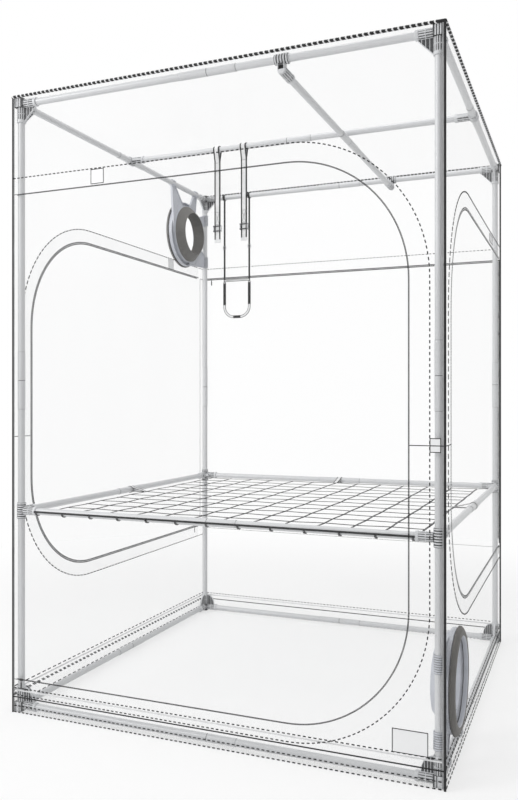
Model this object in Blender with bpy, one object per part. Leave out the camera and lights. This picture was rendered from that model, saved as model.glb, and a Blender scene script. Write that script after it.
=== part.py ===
"""Indoor grow tent with a pole frame, see-through fabric, a plant net and two duct flanges."""
import bmesh
import bpy
from math import asin, cos, pi, sin, sqrt
from mathutils import Matrix, Vector

# Whole tent, over the outside of the fabric
WIDTH = 1.39
DEPTH = 1.39
HEIGHT = 2.0
FABRIC = 0.0015
GAP = 0.0003
OVERRUN = 0.002

# Poles and their joint sleeves
POLE_INSET = 0.020
POLE_RADIUS = 0.011
POLE_WALL = 0.0012
SLEEVE_RADIUS = 0.012
SLEEVE_HALF_LENGTH = 0.093
POST_SLEEVE_HEIGHT = 1.078
ROUND_SIDES = 10

# Corner connectors
SOCKET_RADIUS = 0.0138
COLLAR_RADIUS = 0.0148
COLLAR_LENGTH = 0.010
SOCKET_REACH = 0.062
SOCKET_SEAT = 0.018
HUB_HALF = 0.0134
GUSSET_THICK = 0.005
GUSSET_ARCH_REACH = 0.033

# Roof bars and their tees
ROOF_BAR_DROP = 0.0305
ROOF_BAR_X = 0.235
TEE_RING_RADIUS = 0.0160
TEE_RING_HALF_LENGTH = 0.021
TEE_SOCKET_REACH = 0.062
HUNG_SOCKET_REACH = 0.070
TEE_SOCKET_SEAT = 0.019
TEE_NECK_HALF = 0.009

# Net and its frame
NET_POLE_HEIGHT = 0.654
NET_CELLS = 12
NET_MARGIN = 0.086
NET_STRAP = 0.006
NET_STRAP_THICK = 0.003
NET_BELOW_POLE = 0.0075
NET_TAB_WIDTH = 0.005
NET_TAB_THICK = 0.0025
NET_TIE_WIDTH = 0.020
NET_CLIP_HALF_HEIGHT = 0.026
NET_CLIP_RADIUS = 0.0150
NET_CLIP_REACH = 0.062
NET_CLIP_SEAT = 0.019
PEG_RADIUS = 0.003
PEG_OUT = 0.024
PEG_HEAD_RADIUS = 0.005
PEG_HEAD_THICK = 0.002
PEG_FOOT_THICK = 0.011
EYE_RADIUS = 0.008
EYE_BAND_HALF = 0.005
HEM_HEIGHT = 0.005
HEM_THICK = 0.002
HEM_STEP = 0.0005

# Doors and openings
FRONT_DOOR_DROP = 0.320
FRONT_DOOR_BASE = 0.1095
FRONT_DOOR_SIDE = 0.0956
FRONT_DOOR_CORNER = 0.345
SIDE_DOOR_DROP = 0.402
SIDE_DOOR_BASE = 0.414
SIDE_DOOR_FRONT = 0.095
SIDE_DOOR_BACK = 0.0514
SIDE_DOOR_CORNER = 0.340
BACK_PANEL_WELT = 0.008
DOOR_GAP = 0.0005
ARC_STEPS = 8

# Floor tray
TRAY_HEIGHT = 0.0757

# Zip sliders
SLIDER_LENGTH = 0.014
SLIDER_WIDTH = 0.008
SLIDER_THICK = 0.004
PULL_WIDTH = 0.005
PULL_LENGTH = 0.030
PULL_THICK = 0.0015
SLIDER_END_GAP = 0.036

# Hanging straps and buckles
STRAP_WIDTH = 0.025
STRAP_THICK = 0.0015
STRAP_FAR_X = 0.288
STRAP_NEAR_X = 0.1765
STRAP_LOOP_GAP = 0.0012
STRAP_NECK = 0.045
STRAP_BUCKLE_TOP = 0.292
STRAP_TAIL_END = 0.358
BUCKLE_HEIGHT = 0.025
BUCKLE_WALL = 0.0035
BUCKLE_SLACK = 0.0005

# Sling on the back top pole
SLING_FROM_POST = 0.168
SLING_WIDTH = 0.140
SLING_BAND = 0.012
SLING_THICK = 0.002
SLING_DROP = 0.576
SLING_CROSS_DROP = 0.392
SLING_CROSS_BAND = 0.010
SLING_RING_GAP = 0.0009
SLING_BEND = 0.055

# Duct flanges
FLANGE_FROM_POST = 0.185
FLANGE_FROM_POLE = 0.202
BRACKET_OUTER = 0.145
BRACKET_BORE = 0.1215
BRACKET_DEPTH = 0.024
BRACKET_WALL_GAP = 0.0012
ARM_THICK = 0.010
CLIP_OFFSET = 0.1005
CLIP_HALF_HEIGHT = 0.025
CLIP_RADIUS = 0.0150
HOOK_FAR_OFFSET = 0.1405
HOOK_NEAR_OFFSET = 0.0785
HOOK_HALF_LENGTH = 0.011
HOOK_MOUTH = 0.014
FAR_ARM_SHARES = ((0.32, 0.85), (0.94, 0.25))
NEAR_HOOK_SHARES = ((0.15, 0.90), (0.52, 0.79))
NEAR_CLIP_SHARES = ((0.42, 0.84), (0.67, 0.70))
DUCT_RING_OUTER = 0.150
DUCT_RING_THICK = 0.0137
DUCT_RING_EDGE = 0.004
DUCT_HOLE = 0.123
REDUCER_RIM = 0.125
REDUCER_BORE = 0.0925
REDUCER_RISE = 0.033
REDUCER_BACK = 0.022
REDUCER_SKIN = 0.0025
REDUCER_TIP_WALL = 0.005
FLANGE_SIDES = 28

# Places worked out from the sizes above
HALF_W = WIDTH / 2
HALF_D = DEPTH / 2
POST_X = HALF_W - POLE_INSET
POST_Y = HALF_D - POLE_INSET
LOW_Z = POLE_INSET
TOP_Z = HEIGHT - POLE_INSET
WALL_IN_X = HALF_W - FABRIC
WALL_IN_Y = HALF_D - FABRIC
LINED_X = WALL_IN_X - GAP
LINED_Y = WALL_IN_Y - GAP
WALL_TOP = HEIGHT - FABRIC - GAP
NET_HALF_X = HALF_W - NET_MARGIN
NET_HALF_Y = HALF_D - NET_MARGIN
BORE_RADIUS = POLE_RADIUS + GAP
RUN_RADIUS = SLEEVE_RADIUS + GAP
FRONT_DOOR_TOP = HEIGHT - FRONT_DOOR_DROP
FRONT_DOOR_EDGE_X = HALF_W - FRONT_DOOR_SIDE
SIDE_DOOR_TOP = HEIGHT - SIDE_DOOR_DROP
SLING_X = POST_X - SLING_FROM_POST


def clear_scene():
    for old in list(bpy.data.objects):
        bpy.data.objects.remove(old, do_unlink=True)


def principled(name, colour, roughness, metallic=0.0, alpha=1.0):
    made = bpy.data.materials.new(name)
    made.use_nodes = True
    shader = made.node_tree.nodes["Principled BSDF"]
    shader.inputs["Base Color"].default_value = (*colour, 1.0)
    shader.inputs["Roughness"].default_value = roughness
    shader.inputs["Metallic"].default_value = metallic
    shader.inputs["Alpha"].default_value = alpha
    made.diffuse_color = (*colour, alpha)
    return made


FINISHES = {
    "pole": ((0.86, 0.87, 0.88), 0.35, 0.2, 1.0),
    "plastic": ((0.80, 0.82, 0.84), 0.45, 0.0, 1.0),
    "film": ((0.93, 0.94, 0.95), 0.25, 0.0, 0.25),
    "tray": ((0.90, 0.91, 0.92), 0.40, 0.0, 0.5),
    "net": ((0.88, 0.88, 0.87), 0.80, 0.0, 1.0),
    "webbing": ((0.85, 0.85, 0.84), 0.85, 0.0, 1.0),
    "slider": ((0.10, 0.10, 0.11), 0.40, 0.8, 1.0),
    "bracket": ((0.58, 0.60, 0.64), 0.45, 0.0, 1.0),
    "rubber": ((0.15, 0.145, 0.14), 0.70, 0.0, 1.0),
}


def paint(obj, finish):
    colour, roughness, metallic, alpha = FINISHES[finish]
    obj.data.materials.clear()
    obj.data.materials.append(principled(obj.name + "_" + finish, colour, roughness, metallic, alpha))


def object_from(name, bm):
    bmesh.ops.recalc_face_normals(bm, faces=bm.faces)
    mesh = bpy.data.meshes.new(name)
    bm.to_mesh(mesh)
    bm.free()
    obj = bpy.data.objects.new(name, mesh)
    bpy.context.scene.collection.objects.link(obj)
    return obj


def baked(obj):
    """Swap an object's mesh for the one its modifiers make."""
    graph = bpy.context.evaluated_depsgraph_get()
    graph.update()
    mesh = bpy.data.meshes.new_from_object(obj.evaluated_get(graph))
    obj.modifiers.clear()
    obj.data = mesh
    return obj


def combined(obj, tools, operation):
    """Join or cut an object with each tool in turn, then drop the tools."""
    for tool in tools:
        step = obj.modifiers.new("step", "BOOLEAN")
        step.operation = operation
        step.solver = "EXACT"
        step.object = tool
        baked(obj)
        bpy.data.objects.remove(tool, do_unlink=True)
    return obj


def block(name, low, high):
    bm = bmesh.new()
    bmesh.ops.create_cube(bm, size=1.0)
    size = Vector(high) - Vector(low)
    middle = (Vector(high) + Vector(low)) / 2
    for vert in bm.verts:
        vert.co = Vector((vert.co.x * size.x, vert.co.y * size.y, vert.co.z * size.z)) + middle
    return object_from(name, bm)


def ring_points(radius, along, axis, sides):
    """Points of one ring about a world axis, at a distance along it."""
    points = []
    for step in range(sides):
        angle = 2 * pi * step / sides
        across = radius * cos(angle)
        up = radius * sin(angle)
        points.append({"X": (along, across, up), "Y": (across, along, up), "Z": (across, up, along)}[axis])
    return points


def skinned_rings(profile, axis, centre, sides, closed):
    """Join rings given as radius and distance pairs, into a tube or into a solid with flat ends."""
    bm = bmesh.new()
    rings = []
    for radius, along in profile:
        points = ring_points(radius, along, axis, sides)
        rings.append([bm.verts.new(Vector(point) + Vector(centre)) for point in points])
    following_rings = rings[1:] + rings[:1] if closed else rings[1:]
    for this, following in zip(rings, following_rings):
        for step in range(sides):
            after = (step + 1) % sides
            bm.faces.new((this[step], this[after], following[after], following[step]))
    if not closed:
        bm.faces.new(rings[0])
        bm.faces.new(rings[-1])
    return bm


def turned(name, profile, axis, centre, sides=ROUND_SIDES):
    """Revolve a closed outline about a world axis through a centre."""
    return object_from(name, skinned_rings(profile, axis, centre, sides, True))


def rod(name, outline, axis, centre, sides=ROUND_SIDES):
    """A solid turned piece with flat ends."""
    return object_from(name, skinned_rings(outline, axis, centre, sides, False))


def prism(name, outlines, low, high, lay):
    """Fill a flat outline, with any holes after it, and give it a thickness."""
    bm = bmesh.new()
    edges = []
    for outline in outlines:
        verts = [bm.verts.new(lay(u, v, low)) for u, v in outline]
        for this, following in zip(verts, verts[1:] + verts[:1]):
            edges.append(bm.edges.new((this, following)))
    bmesh.ops.triangle_fill(bm, use_beauty=True, edges=edges)
    grown = bmesh.ops.extrude_face_region(bm, geom=list(bm.faces))
    shift = lay(0, 0, high) - lay(0, 0, low)
    moved = [part for part in grown["geom"] if isinstance(part, bmesh.types.BMVert)]
    bmesh.ops.translate(bm, vec=shift, verts=moved)
    return object_from(name, bm)


def on_front(u, v, w):
    return Vector((u, w, v))


def on_side(u, v, w):
    return Vector((w, u, v))


def turned_side(u, v, w):
    return Vector((w, v, u))


def on_level(u, v, w):
    return Vector((u, v, w))


def rectangle(low_u, low_v, high_u, high_v):
    return [(low_u, low_v), (high_u, low_v), (high_u, high_v), (low_u, high_v)]


def arc(centre_u, centre_v, radius, start, end, steps=ARC_STEPS):
    points = []
    for step in range(steps + 1):
        angle = start + (end - start) * step / steps
        points.append((centre_u + radius * cos(angle), centre_v + radius * sin(angle)))
    return points


def circle(centre_u, centre_v, radius, sides):
    return arc(centre_u, centre_v, radius, 0, 2 * pi, sides)[:-1]


def door_outline(hung_u, free_u, low, high, corner, inward):
    """A D shape with its two round corners on the free edge, drawn in by a margin."""
    way = 1 if free_u > hung_u else -1
    edge = free_u - way * inward
    radius = corner - inward
    low_round = arc(edge - way * radius, low + inward + radius, radius, -pi / 2, 0)
    high_round = arc(edge - way * radius, high - inward - radius, radius, 0, pi / 2)
    points = low_round + high_round
    if way < 0:
        centre = edge + radius
        points = [(2 * centre - u, v) for u, v in points]
    start = hung_u + way * inward
    return [(start, low + inward)] + points + [(start, high - inward)]


def seated(obj, origin, finish, parent=None):
    """Paint an object, put its origin at a world point and hang it from a parent."""
    paint(obj, finish)
    obj.data.transform(Matrix.Translation(-Vector(origin)))
    obj["world_place"] = tuple(origin)
    obj.location = Vector(origin)
    if parent is not None:
        obj.location = Vector(origin) - Vector(parent["world_place"])
        obj.parent = parent
    return obj


def pivot(name, place, parent=None):
    """An empty on a joint's axis."""
    empty = bpy.data.objects.new(name, None)
    empty["world_place"] = tuple(place)
    empty.location = Vector(place)
    if parent is not None:
        empty.location = Vector(place) - Vector(parent["world_place"])
        empty.parent = parent
    bpy.context.scene.collection.objects.link(empty)
    return empty


def mirrored(name, source, signs, centre):
    """A copy of a piece built at the origin, mirrored by its signs and moved to a centre."""
    mesh = source.data.copy()
    flip = Matrix.Diagonal((signs[0], signs[1], signs[2], 1))
    mesh.transform(Matrix.Translation(centre) @ flip)
    if signs[0] * signs[1] * signs[2] < 0:
        mesh.flip_normals()
    obj = bpy.data.objects.new(name, mesh)
    bpy.context.scene.collection.objects.link(obj)
    return obj


# Poles


def tube_profile(start, end, sleeve_at):
    """Outline of a tube with a wider joint sleeve round its middle."""
    inner = POLE_RADIUS - POLE_WALL
    return [
        (inner, start),
        (POLE_RADIUS, start),
        (POLE_RADIUS, sleeve_at - SLEEVE_HALF_LENGTH),
        (SLEEVE_RADIUS, sleeve_at - SLEEVE_HALF_LENGTH),
        (SLEEVE_RADIUS, sleeve_at + SLEEVE_HALF_LENGTH),
        (POLE_RADIUS, sleeve_at + SLEEVE_HALF_LENGTH),
        (POLE_RADIUS, end),
        (inner, end),
    ]


def pole(name, axis, centre, half_length, parent=None, sleeve_at=0.0):
    obj = turned(name, tube_profile(-half_length, half_length, sleeve_at), axis, centre)
    return seated(obj, centre, "pole", parent)


def frame_poles():
    seat = SOCKET_SEAT + GAP
    post_half = (TOP_Z - LOW_Z) / 2 - seat
    post_middle = (TOP_Z + LOW_Z) / 2
    for front_back, sy in (("front", -1), ("back", 1)):
        for left_right, sx in (("left", -1), ("right", 1)):
            name = "post_" + front_back + "_" + left_right
            pole(name, "Z", (sx * POST_X, sy * POST_Y, post_middle), post_half,
                 sleeve_at=POST_SLEEVE_HEIGHT - post_middle)
    for level, z in (("bottom", LOW_Z), ("top", TOP_Z)):
        for side, sy in (("front", -1), ("back", 1)):
            pole("pole_" + level + "_" + side, "X", (0, sy * POST_Y, z), POST_X - seat)
        for side, sx in (("left", -1), ("right", 1)):
            pole("pole_" + level + "_" + side, "Y", (sx * POST_X, 0, z), POST_Y - seat)


# Corner connectors


def socket_arm(name, axis, radius, reach, start):
    """A socket with a collar at its mouth, solid until it is bored."""
    outline = [
        (radius, start),
        (radius, reach - COLLAR_LENGTH),
        (COLLAR_RADIUS, reach - COLLAR_LENGTH),
        (COLLAR_RADIUS, reach),
    ]
    return rod(name, outline, axis, (0, 0, 0))


def bore_cutter(name, axis, radius, start, end):
    return rod(name, [(radius, start), (radius, end)], axis, (0, 0, 0))


def gusset(name, lay, arched):
    """A web between two sockets, straight at the top of the tent and arched at its foot."""
    reach = SOCKET_REACH - COLLAR_LENGTH / 2
    if arched:
        rise = reach - SOCKET_RADIUS
        slope = [(SOCKET_RADIUS + GUSSET_ARCH_REACH * u, SOCKET_RADIUS + rise * v)
                 for u, v in arc(0, 0, 1, 0, pi / 2)]
    else:
        slope = [(reach, SOCKET_RADIUS), (SOCKET_RADIUS, reach)]
    corner = [(0, 0), (slope[0][0], 0)] + slope + [(0, reach)]
    return prism(name, [corner], -GUSSET_THICK / 2, GUSSET_THICK / 2, lay)


def connector_body(side_out, level_out, arched):
    """A three-way connector at the origin, with its sockets along the positive axes."""
    body = block("corner_base", (-side_out, -side_out, -level_out), (HUB_HALF,) * 3)
    arms = [socket_arm("arm_" + axis, axis, SOCKET_RADIUS, SOCKET_REACH, 0) for axis in "XYZ"]
    webs = [gusset("web_front", on_front, arched), gusset("web_side", on_side, arched)]
    combined(body, webs + arms, "UNION")
    end = SOCKET_REACH + OVERRUN
    bores = [bore_cutter("bore_" + axis, axis, BORE_RADIUS, SOCKET_SEAT, end) for axis in "XYZ"]
    return combined(body, bores, "DIFFERENCE")


def corner_connectors():
    to_fabric = POLE_INSET - FABRIC - GAP
    bodies = {
        "bottom": connector_body(to_fabric - FABRIC - GAP, to_fabric, True),
        "top": connector_body(to_fabric, to_fabric, False),
    }
    for level, sz, z in (("bottom", -1, LOW_Z), ("top", 1, TOP_Z)):
        for front_back, sy in (("front", -1), ("back", 1)):
            for left_right, sx in (("left", -1), ("right", 1)):
                centre = Vector((sx * POST_X, sy * POST_Y, z))
                name = "corner_" + level + "_" + front_back + "_" + left_right
                copy = mirrored(name, bodies[level], (-sx, -sy, -sz), centre)
                seated(copy, centre, "plastic")
    for body in bodies.values():
        bpy.data.objects.remove(body, do_unlink=True)


# Roof bars


def level_bar():
    """The bar from left to right, at pole height, with its two tees."""
    centre = (0, 0, TOP_Z)
    slide = pivot("slide_level_bar", centre)
    pole("level_bar", "X", centre, POST_X - TEE_SOCKET_SEAT - GAP, slide)
    ring_out = TEE_RING_HALF_LENGTH
    body = rod("tee_base", [(TEE_RING_RADIUS, -ring_out), (TEE_RING_RADIUS, ring_out)], "Y", (0, 0, 0))
    combined(body, [socket_arm("tee_arm", "X", SOCKET_RADIUS, TEE_SOCKET_REACH, 0)], "UNION")
    run = bore_cutter("tee_run", "Y", RUN_RADIUS, -ring_out - OVERRUN, ring_out + OVERRUN)
    seat = bore_cutter("tee_seat", "X", BORE_RADIUS, TEE_SOCKET_SEAT, TEE_SOCKET_REACH + OVERRUN)
    combined(body, [run, seat], "DIFFERENCE")
    for side, sx in (("left", -1), ("right", 1)):
        place = Vector((sx * POST_X, 0, TOP_Z))
        seated(mirrored("level_bar_tee_" + side, body, (-sx, 1, 1), place), place, "plastic", slide)
    bpy.data.objects.remove(body, do_unlink=True)
    return slide


def hung_bar():
    """The bar from front to back, hung below the top poles, with its two tees."""
    centre = (ROOF_BAR_X, 0, TOP_Z - ROOF_BAR_DROP)
    slide = pivot("slide_hung_bar", centre)
    pole("hung_bar", "Y", centre, POST_Y - TEE_SOCKET_SEAT - GAP, slide)
    ring_out = TEE_RING_HALF_LENGTH
    body = rod("tee_base", [(TEE_RING_RADIUS, -ring_out), (TEE_RING_RADIUS, ring_out)], "X", (0, 0, 0))
    neck_half = TEE_NECK_HALF
    neck = block("tee_neck", (-neck_half, -neck_half, -ROOF_BAR_DROP), (neck_half, neck_half, 0))
    arm = socket_arm("tee_arm", "Y", SOCKET_RADIUS, HUNG_SOCKET_REACH, -TEE_NECK_HALF)
    arm.data.transform(Matrix.Translation((0, 0, -ROOF_BAR_DROP)))
    combined(body, [neck, arm], "UNION")
    run = bore_cutter("tee_run", "X", BORE_RADIUS, -ring_out - OVERRUN, ring_out + OVERRUN)
    seat = bore_cutter("tee_seat", "Y", BORE_RADIUS, TEE_SOCKET_SEAT, HUNG_SOCKET_REACH + OVERRUN)
    seat.data.transform(Matrix.Translation((0, 0, -ROOF_BAR_DROP)))
    combined(body, [run, seat], "DIFFERENCE")
    for side, sy in (("front", -1), ("back", 1)):
        place = Vector((ROOF_BAR_X, sy * POST_Y, TOP_Z))
        seated(mirrored("hung_bar_tee_" + side, body, (1, -sy, 1), place), place, "plastic", slide)
    bpy.data.objects.remove(body, do_unlink=True)


# Net and its frame


def net_poles(slide):
    seat = NET_CLIP_SEAT + GAP
    for side, sy in (("front", -1), ("back", 1)):
        pole("net_pole_" + side, "X", (0, sy * POST_Y, NET_POLE_HEIGHT), POST_X - seat, slide)
    for side, sx in (("left", -1), ("right", 1)):
        pole("net_pole_" + side, "Y", (sx * POST_X, 0, NET_POLE_HEIGHT), POST_Y - seat, slide)


def net_clips(slide):
    """Corner clips that slide on the posts, hold the net poles and carry a peg for the net's eye."""
    high = NET_CLIP_HALF_HEIGHT
    body = rod("clip_base", [(NET_CLIP_RADIUS, -high), (NET_CLIP_RADIUS, high)], "Z", (0, 0, 0))
    arms = [socket_arm("arm_" + axis, axis, SOCKET_RADIUS, NET_CLIP_REACH, 0) for axis in "XY"]
    foot_low = GAP + NET_STRAP_THICK / 2 - NET_BELOW_POLE
    out = PEG_OUT + PEG_HEAD_RADIUS
    foot = block("peg_foot", (0, 0, foot_low), (out, out, foot_low + PEG_FOOT_THICK))
    head_top = -NET_BELOW_POLE - NET_STRAP_THICK / 2 - GAP
    peg_outline = [
        (PEG_HEAD_RADIUS, head_top - PEG_HEAD_THICK),
        (PEG_HEAD_RADIUS, head_top),
        (PEG_RADIUS, head_top),
        (PEG_RADIUS, foot_low + PEG_FOOT_THICK / 2),
    ]
    peg = rod("peg", peg_outline, "Z", (PEG_OUT, PEG_OUT, 0))
    combined(body, arms + [foot, peg], "UNION")
    run = bore_cutter("clip_run", "Z", BORE_RADIUS, -high - OVERRUN, high + OVERRUN)
    seats = [bore_cutter("seat_" + axis, axis, BORE_RADIUS, NET_CLIP_SEAT, NET_CLIP_REACH + OVERRUN)
             for axis in "XY"]
    combined(body, [run] + seats, "DIFFERENCE")
    for front_back, sy in (("front", -1), ("back", 1)):
        for left_right, sx in (("left", -1), ("right", 1)):
            place = Vector((sx * POST_X, sy * POST_Y, NET_POLE_HEIGHT))
            copy = mirrored("net_clip_" + front_back + "_" + left_right, body, (-sx, -sy, 1), place)
            seated(copy, place, "plastic", slide)
    bpy.data.objects.remove(body, do_unlink=True)


def net_outline():
    """The net's outer edge, with a band out to an eye at each corner."""
    edge_x = NET_HALF_X + NET_STRAP / 2
    edge_y = NET_HALF_Y + NET_STRAP / 2
    notch = EYE_BAND_HALF * sqrt(2)
    lean = asin(EYE_BAND_HALF / EYE_RADIUS)
    eye = arc(POST_X - PEG_OUT, POST_Y - PEG_OUT, EYE_RADIUS, lean - 3 * pi / 4, 5 * pi / 4 - lean)
    corner = [(edge_x, edge_y - notch)] + eye + [(edge_x - notch, edge_y)]
    outline = []
    for sx, sy in ((1, 1), (-1, 1), (-1, -1), (1, -1)):
        turned_corner = [(sx * u, sy * v) for u, v in corner]
        if sx * sy < 0:
            turned_corner.reverse()
        outline += turned_corner
    return outline


def net_holes():
    """The open cells between the straps, and the hole of each eye."""
    pitch_x = 2 * NET_HALF_X / NET_CELLS
    pitch_y = 2 * NET_HALF_Y / NET_CELLS
    half = NET_STRAP / 2
    holes = []
    for column in range(NET_CELLS):
        for row in range(NET_CELLS):
            u = column * pitch_x - NET_HALF_X
            v = row * pitch_y - NET_HALF_Y
            holes.append(rectangle(u + half, v + half, u + pitch_x - half, v + pitch_y - half))
    for sx in (-1, 1):
        for sy in (-1, 1):
            peg = (sx * (POST_X - PEG_OUT), sy * (POST_Y - PEG_OUT))
            holes.append(circle(*peg, PEG_RADIUS + GAP, ROUND_SIDES))
    return holes


def wrap_tab(closed, inner_end):
    """Side view of a tab from the net's edge round a pole, seen from the pole's axis."""
    inner = RUN_RADIUS
    outer = RUN_RADIUS + HEM_THICK
    low = -NET_BELOW_POLE - NET_TAB_THICK / 2
    high = -NET_BELOW_POLE + NET_TAB_THICK / 2
    if closed:
        loop = arc(0, 0, outer, asin(low / outer), asin(high / outer) - 2 * pi, ROUND_SIDES)
        return [[(inner_end, low)] + loop + [(inner_end, high)], circle(0, 0, inner, ROUND_SIDES)]
    under = arc(0, 0, outer, asin(low / outer), -pi)
    back = arc(0, 0, inner, -pi, asin(high / inner))
    return [[(inner_end, low)] + under + back + [(inner_end, high)]]


def net_tabs():
    """Thirteen tabs under the front pole, as one object whose pieces lie apart."""
    outlines = wrap_tab(False, POST_Y - NET_HALF_Y)
    tabs = []
    for line in range(NET_CELLS + 1):
        x = line * 2 * NET_HALF_X / NET_CELLS - NET_HALF_X
        tab = prism("tab", outlines, x - NET_TAB_WIDTH / 2, x + NET_TAB_WIDTH / 2, on_side)
        tab.data.transform(Matrix.Translation((0, -POST_Y, NET_POLE_HEIGHT)))
        tabs.append(tab)
    return tabs


def net_ties():
    """Ring ties round the sleeves of the left, right and back net poles."""
    half = NET_TIE_WIDTH / 2
    ties = []
    for sx in (-1, 1):
        tie = prism("tie", wrap_tab(True, POST_X - NET_HALF_X), -half, half, on_front)
        flip = Matrix.Diagonal((-sx, 1, 1, 1))
        tie.data.transform(Matrix.Translation((sx * POST_X, 0, NET_POLE_HEIGHT)) @ flip)
        if sx > 0:
            tie.data.flip_normals()
        ties.append(tie)
    back = prism("tie", wrap_tab(True, POST_Y - NET_HALF_Y), -half, half, on_side)
    back.data.transform(Matrix.Translation((0, POST_Y, NET_POLE_HEIGHT)) @ Matrix.Diagonal((1, -1, 1, 1)))
    back.data.flip_normals()
    return ties + [back]


def plant_net(slide):
    middle = NET_POLE_HEIGHT - NET_BELOW_POLE
    half = NET_STRAP_THICK / 2
    net = prism("net", [net_outline()] + net_holes(), middle - half, middle + half, on_level)
    front = -POST_Y - RUN_RADIUS - HEM_STEP
    end = NET_HALF_X + NET_STRAP / 2
    low = (-end, front - HEM_THICK, NET_POLE_HEIGHT - HEM_HEIGHT / 2)
    hem = block("hem", low, (end, front, NET_POLE_HEIGHT + HEM_HEIGHT / 2))
    combined(hem, net_tabs(), "UNION")
    combined(net, [hem] + net_ties(), "UNION")
    seated(net, (0, 0, NET_POLE_HEIGHT), "net", slide)


# Fabric skin and its zipped panels


def front_door_outline(inward):
    base = FRONT_DOOR_BASE
    return door_outline(-HALF_W, FRONT_DOOR_EDGE_X, base, FRONT_DOOR_TOP, FRONT_DOOR_CORNER, inward)


def side_door_outline(inward):
    hung = HALF_D - SIDE_DOOR_BACK
    free = SIDE_DOOR_FRONT - HALF_D
    return door_outline(hung, free, SIDE_DOOR_BASE, SIDE_DOOR_TOP, SIDE_DOOR_CORNER, inward)


def flange_place(side):
    """Middle of a duct hole: high at the back of the left wall, low at the front of the right wall."""
    if side < 0:
        return (POST_Y - FLANGE_FROM_POST, TOP_Z - FLANGE_FROM_POLE)
    return (FLANGE_FROM_POST - POST_Y, LOW_Z + FLANGE_FROM_POLE)


def skin():
    rim = rectangle(-HALF_W, 0, HALF_W, WALL_TOP)
    front = prism("front_wall", [rim + front_door_outline(0)[::-1]], -HALF_D, -WALL_IN_Y, on_front)
    seated(front, (0, -HALF_D, 0), "film")
    for name, sx in (("left", -1), ("right", 1)):
        y, z = flange_place(sx)
        outlines = [rectangle(-LINED_Y, 0, LINED_Y, WALL_TOP), side_door_outline(0),
                    circle(y, z, DUCT_HOLE, FLANGE_SIDES)]
        wall = prism(name + "_wall", outlines, sx * WALL_IN_X, sx * HALF_W, on_side)
        seated(wall, (sx * HALF_W, 0, 0), "film")
    welt = HALF_W - BACK_PANEL_WELT
    opening = rectangle(-welt, SIDE_DOOR_BASE, welt, SIDE_DOOR_TOP)
    back = prism("back_wall", [rim, opening], WALL_IN_Y, HALF_D, on_front)
    seated(back, (0, HALF_D, 0), "film")
    roof = block("roof", (-HALF_W, -HALF_D, HEIGHT - FABRIC), (HALF_W, HALF_D, HEIGHT))
    seated(roof, (0, 0, HEIGHT), "film")
    tray = block("floor_tray", (-LINED_X, -LINED_Y, 0), (LINED_X, LINED_Y, TRAY_HEIGHT))
    room = (LINED_X - FABRIC, LINED_Y - FABRIC, TRAY_HEIGHT + OVERRUN)
    combined(tray, [block("tray_room", (-room[0], -room[1], FABRIC), room)], "DIFFERENCE")
    seated(tray, (0, 0, 0), "tray")


def zip_slider(name, line, out, parent):
    """A slider on a level zip, outside the fabric, with its pull hanging down."""
    x, y, z = line
    across = Vector((abs(out.y), abs(out.x), 0))
    size = across * SLIDER_LENGTH / 2 + Vector((0, 0, SLIDER_WIDTH / 2))
    near = Vector(line) + out * GAP
    body = block(name, near - size, near + size + out * SLIDER_THICK)
    pull_near = near + out * (SLIDER_THICK - PULL_THICK) / 2
    side = across * PULL_WIDTH / 2
    low = pull_near - side - Vector((0, 0, PULL_LENGTH))
    pull = block("pull", low, pull_near + side + out * PULL_THICK)
    combined(body, [pull], "UNION")
    seated(body, (x, y, z), "slider", parent)


def zipped_panels():
    door = prism("front_door", [front_door_outline(DOOR_GAP)], -HALF_D, -WALL_IN_Y, on_front)
    hinge = (DOOR_GAP - HALF_W, -HALF_D, 0)
    seated(door, hinge, "film")
    line = (hinge[0] + SLIDER_END_GAP, -HALF_D, FRONT_DOOR_BASE)
    zip_slider("slider_front_door", line, Vector((0, -1, 0)), door)
    hung = HALF_D - SIDE_DOOR_BACK - DOOR_GAP
    for side, sx in (("left", -1), ("right", 1)):
        door = prism(side + "_door", [side_door_outline(DOOR_GAP)], sx * WALL_IN_X, sx * HALF_W, on_side)
        seated(door, (sx * HALF_W, hung, 0), "film")
        line = (sx * HALF_W, hung - SLIDER_END_GAP, SIDE_DOOR_BASE)
        zip_slider("slider_" + side + "_door", line, Vector((sx, 0, 0)), door)
    reach = HALF_W - BACK_PANEL_WELT - DOOR_GAP
    outline = rectangle(-reach, SIDE_DOOR_BASE + DOOR_GAP, reach, SIDE_DOOR_TOP - DOOR_GAP)
    panel = prism("back_panel", [outline], WALL_IN_Y, HALF_D, on_front)
    seated(panel, (0, HALF_D, SIDE_DOOR_BASE + DOOR_GAP), "film")
    line = (SLIDER_END_GAP - reach, HALF_D, SIDE_DOOR_TOP)
    zip_slider("slider_back_panel", line, Vector((0, 1, 0)), panel)


# Hanging straps


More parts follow.
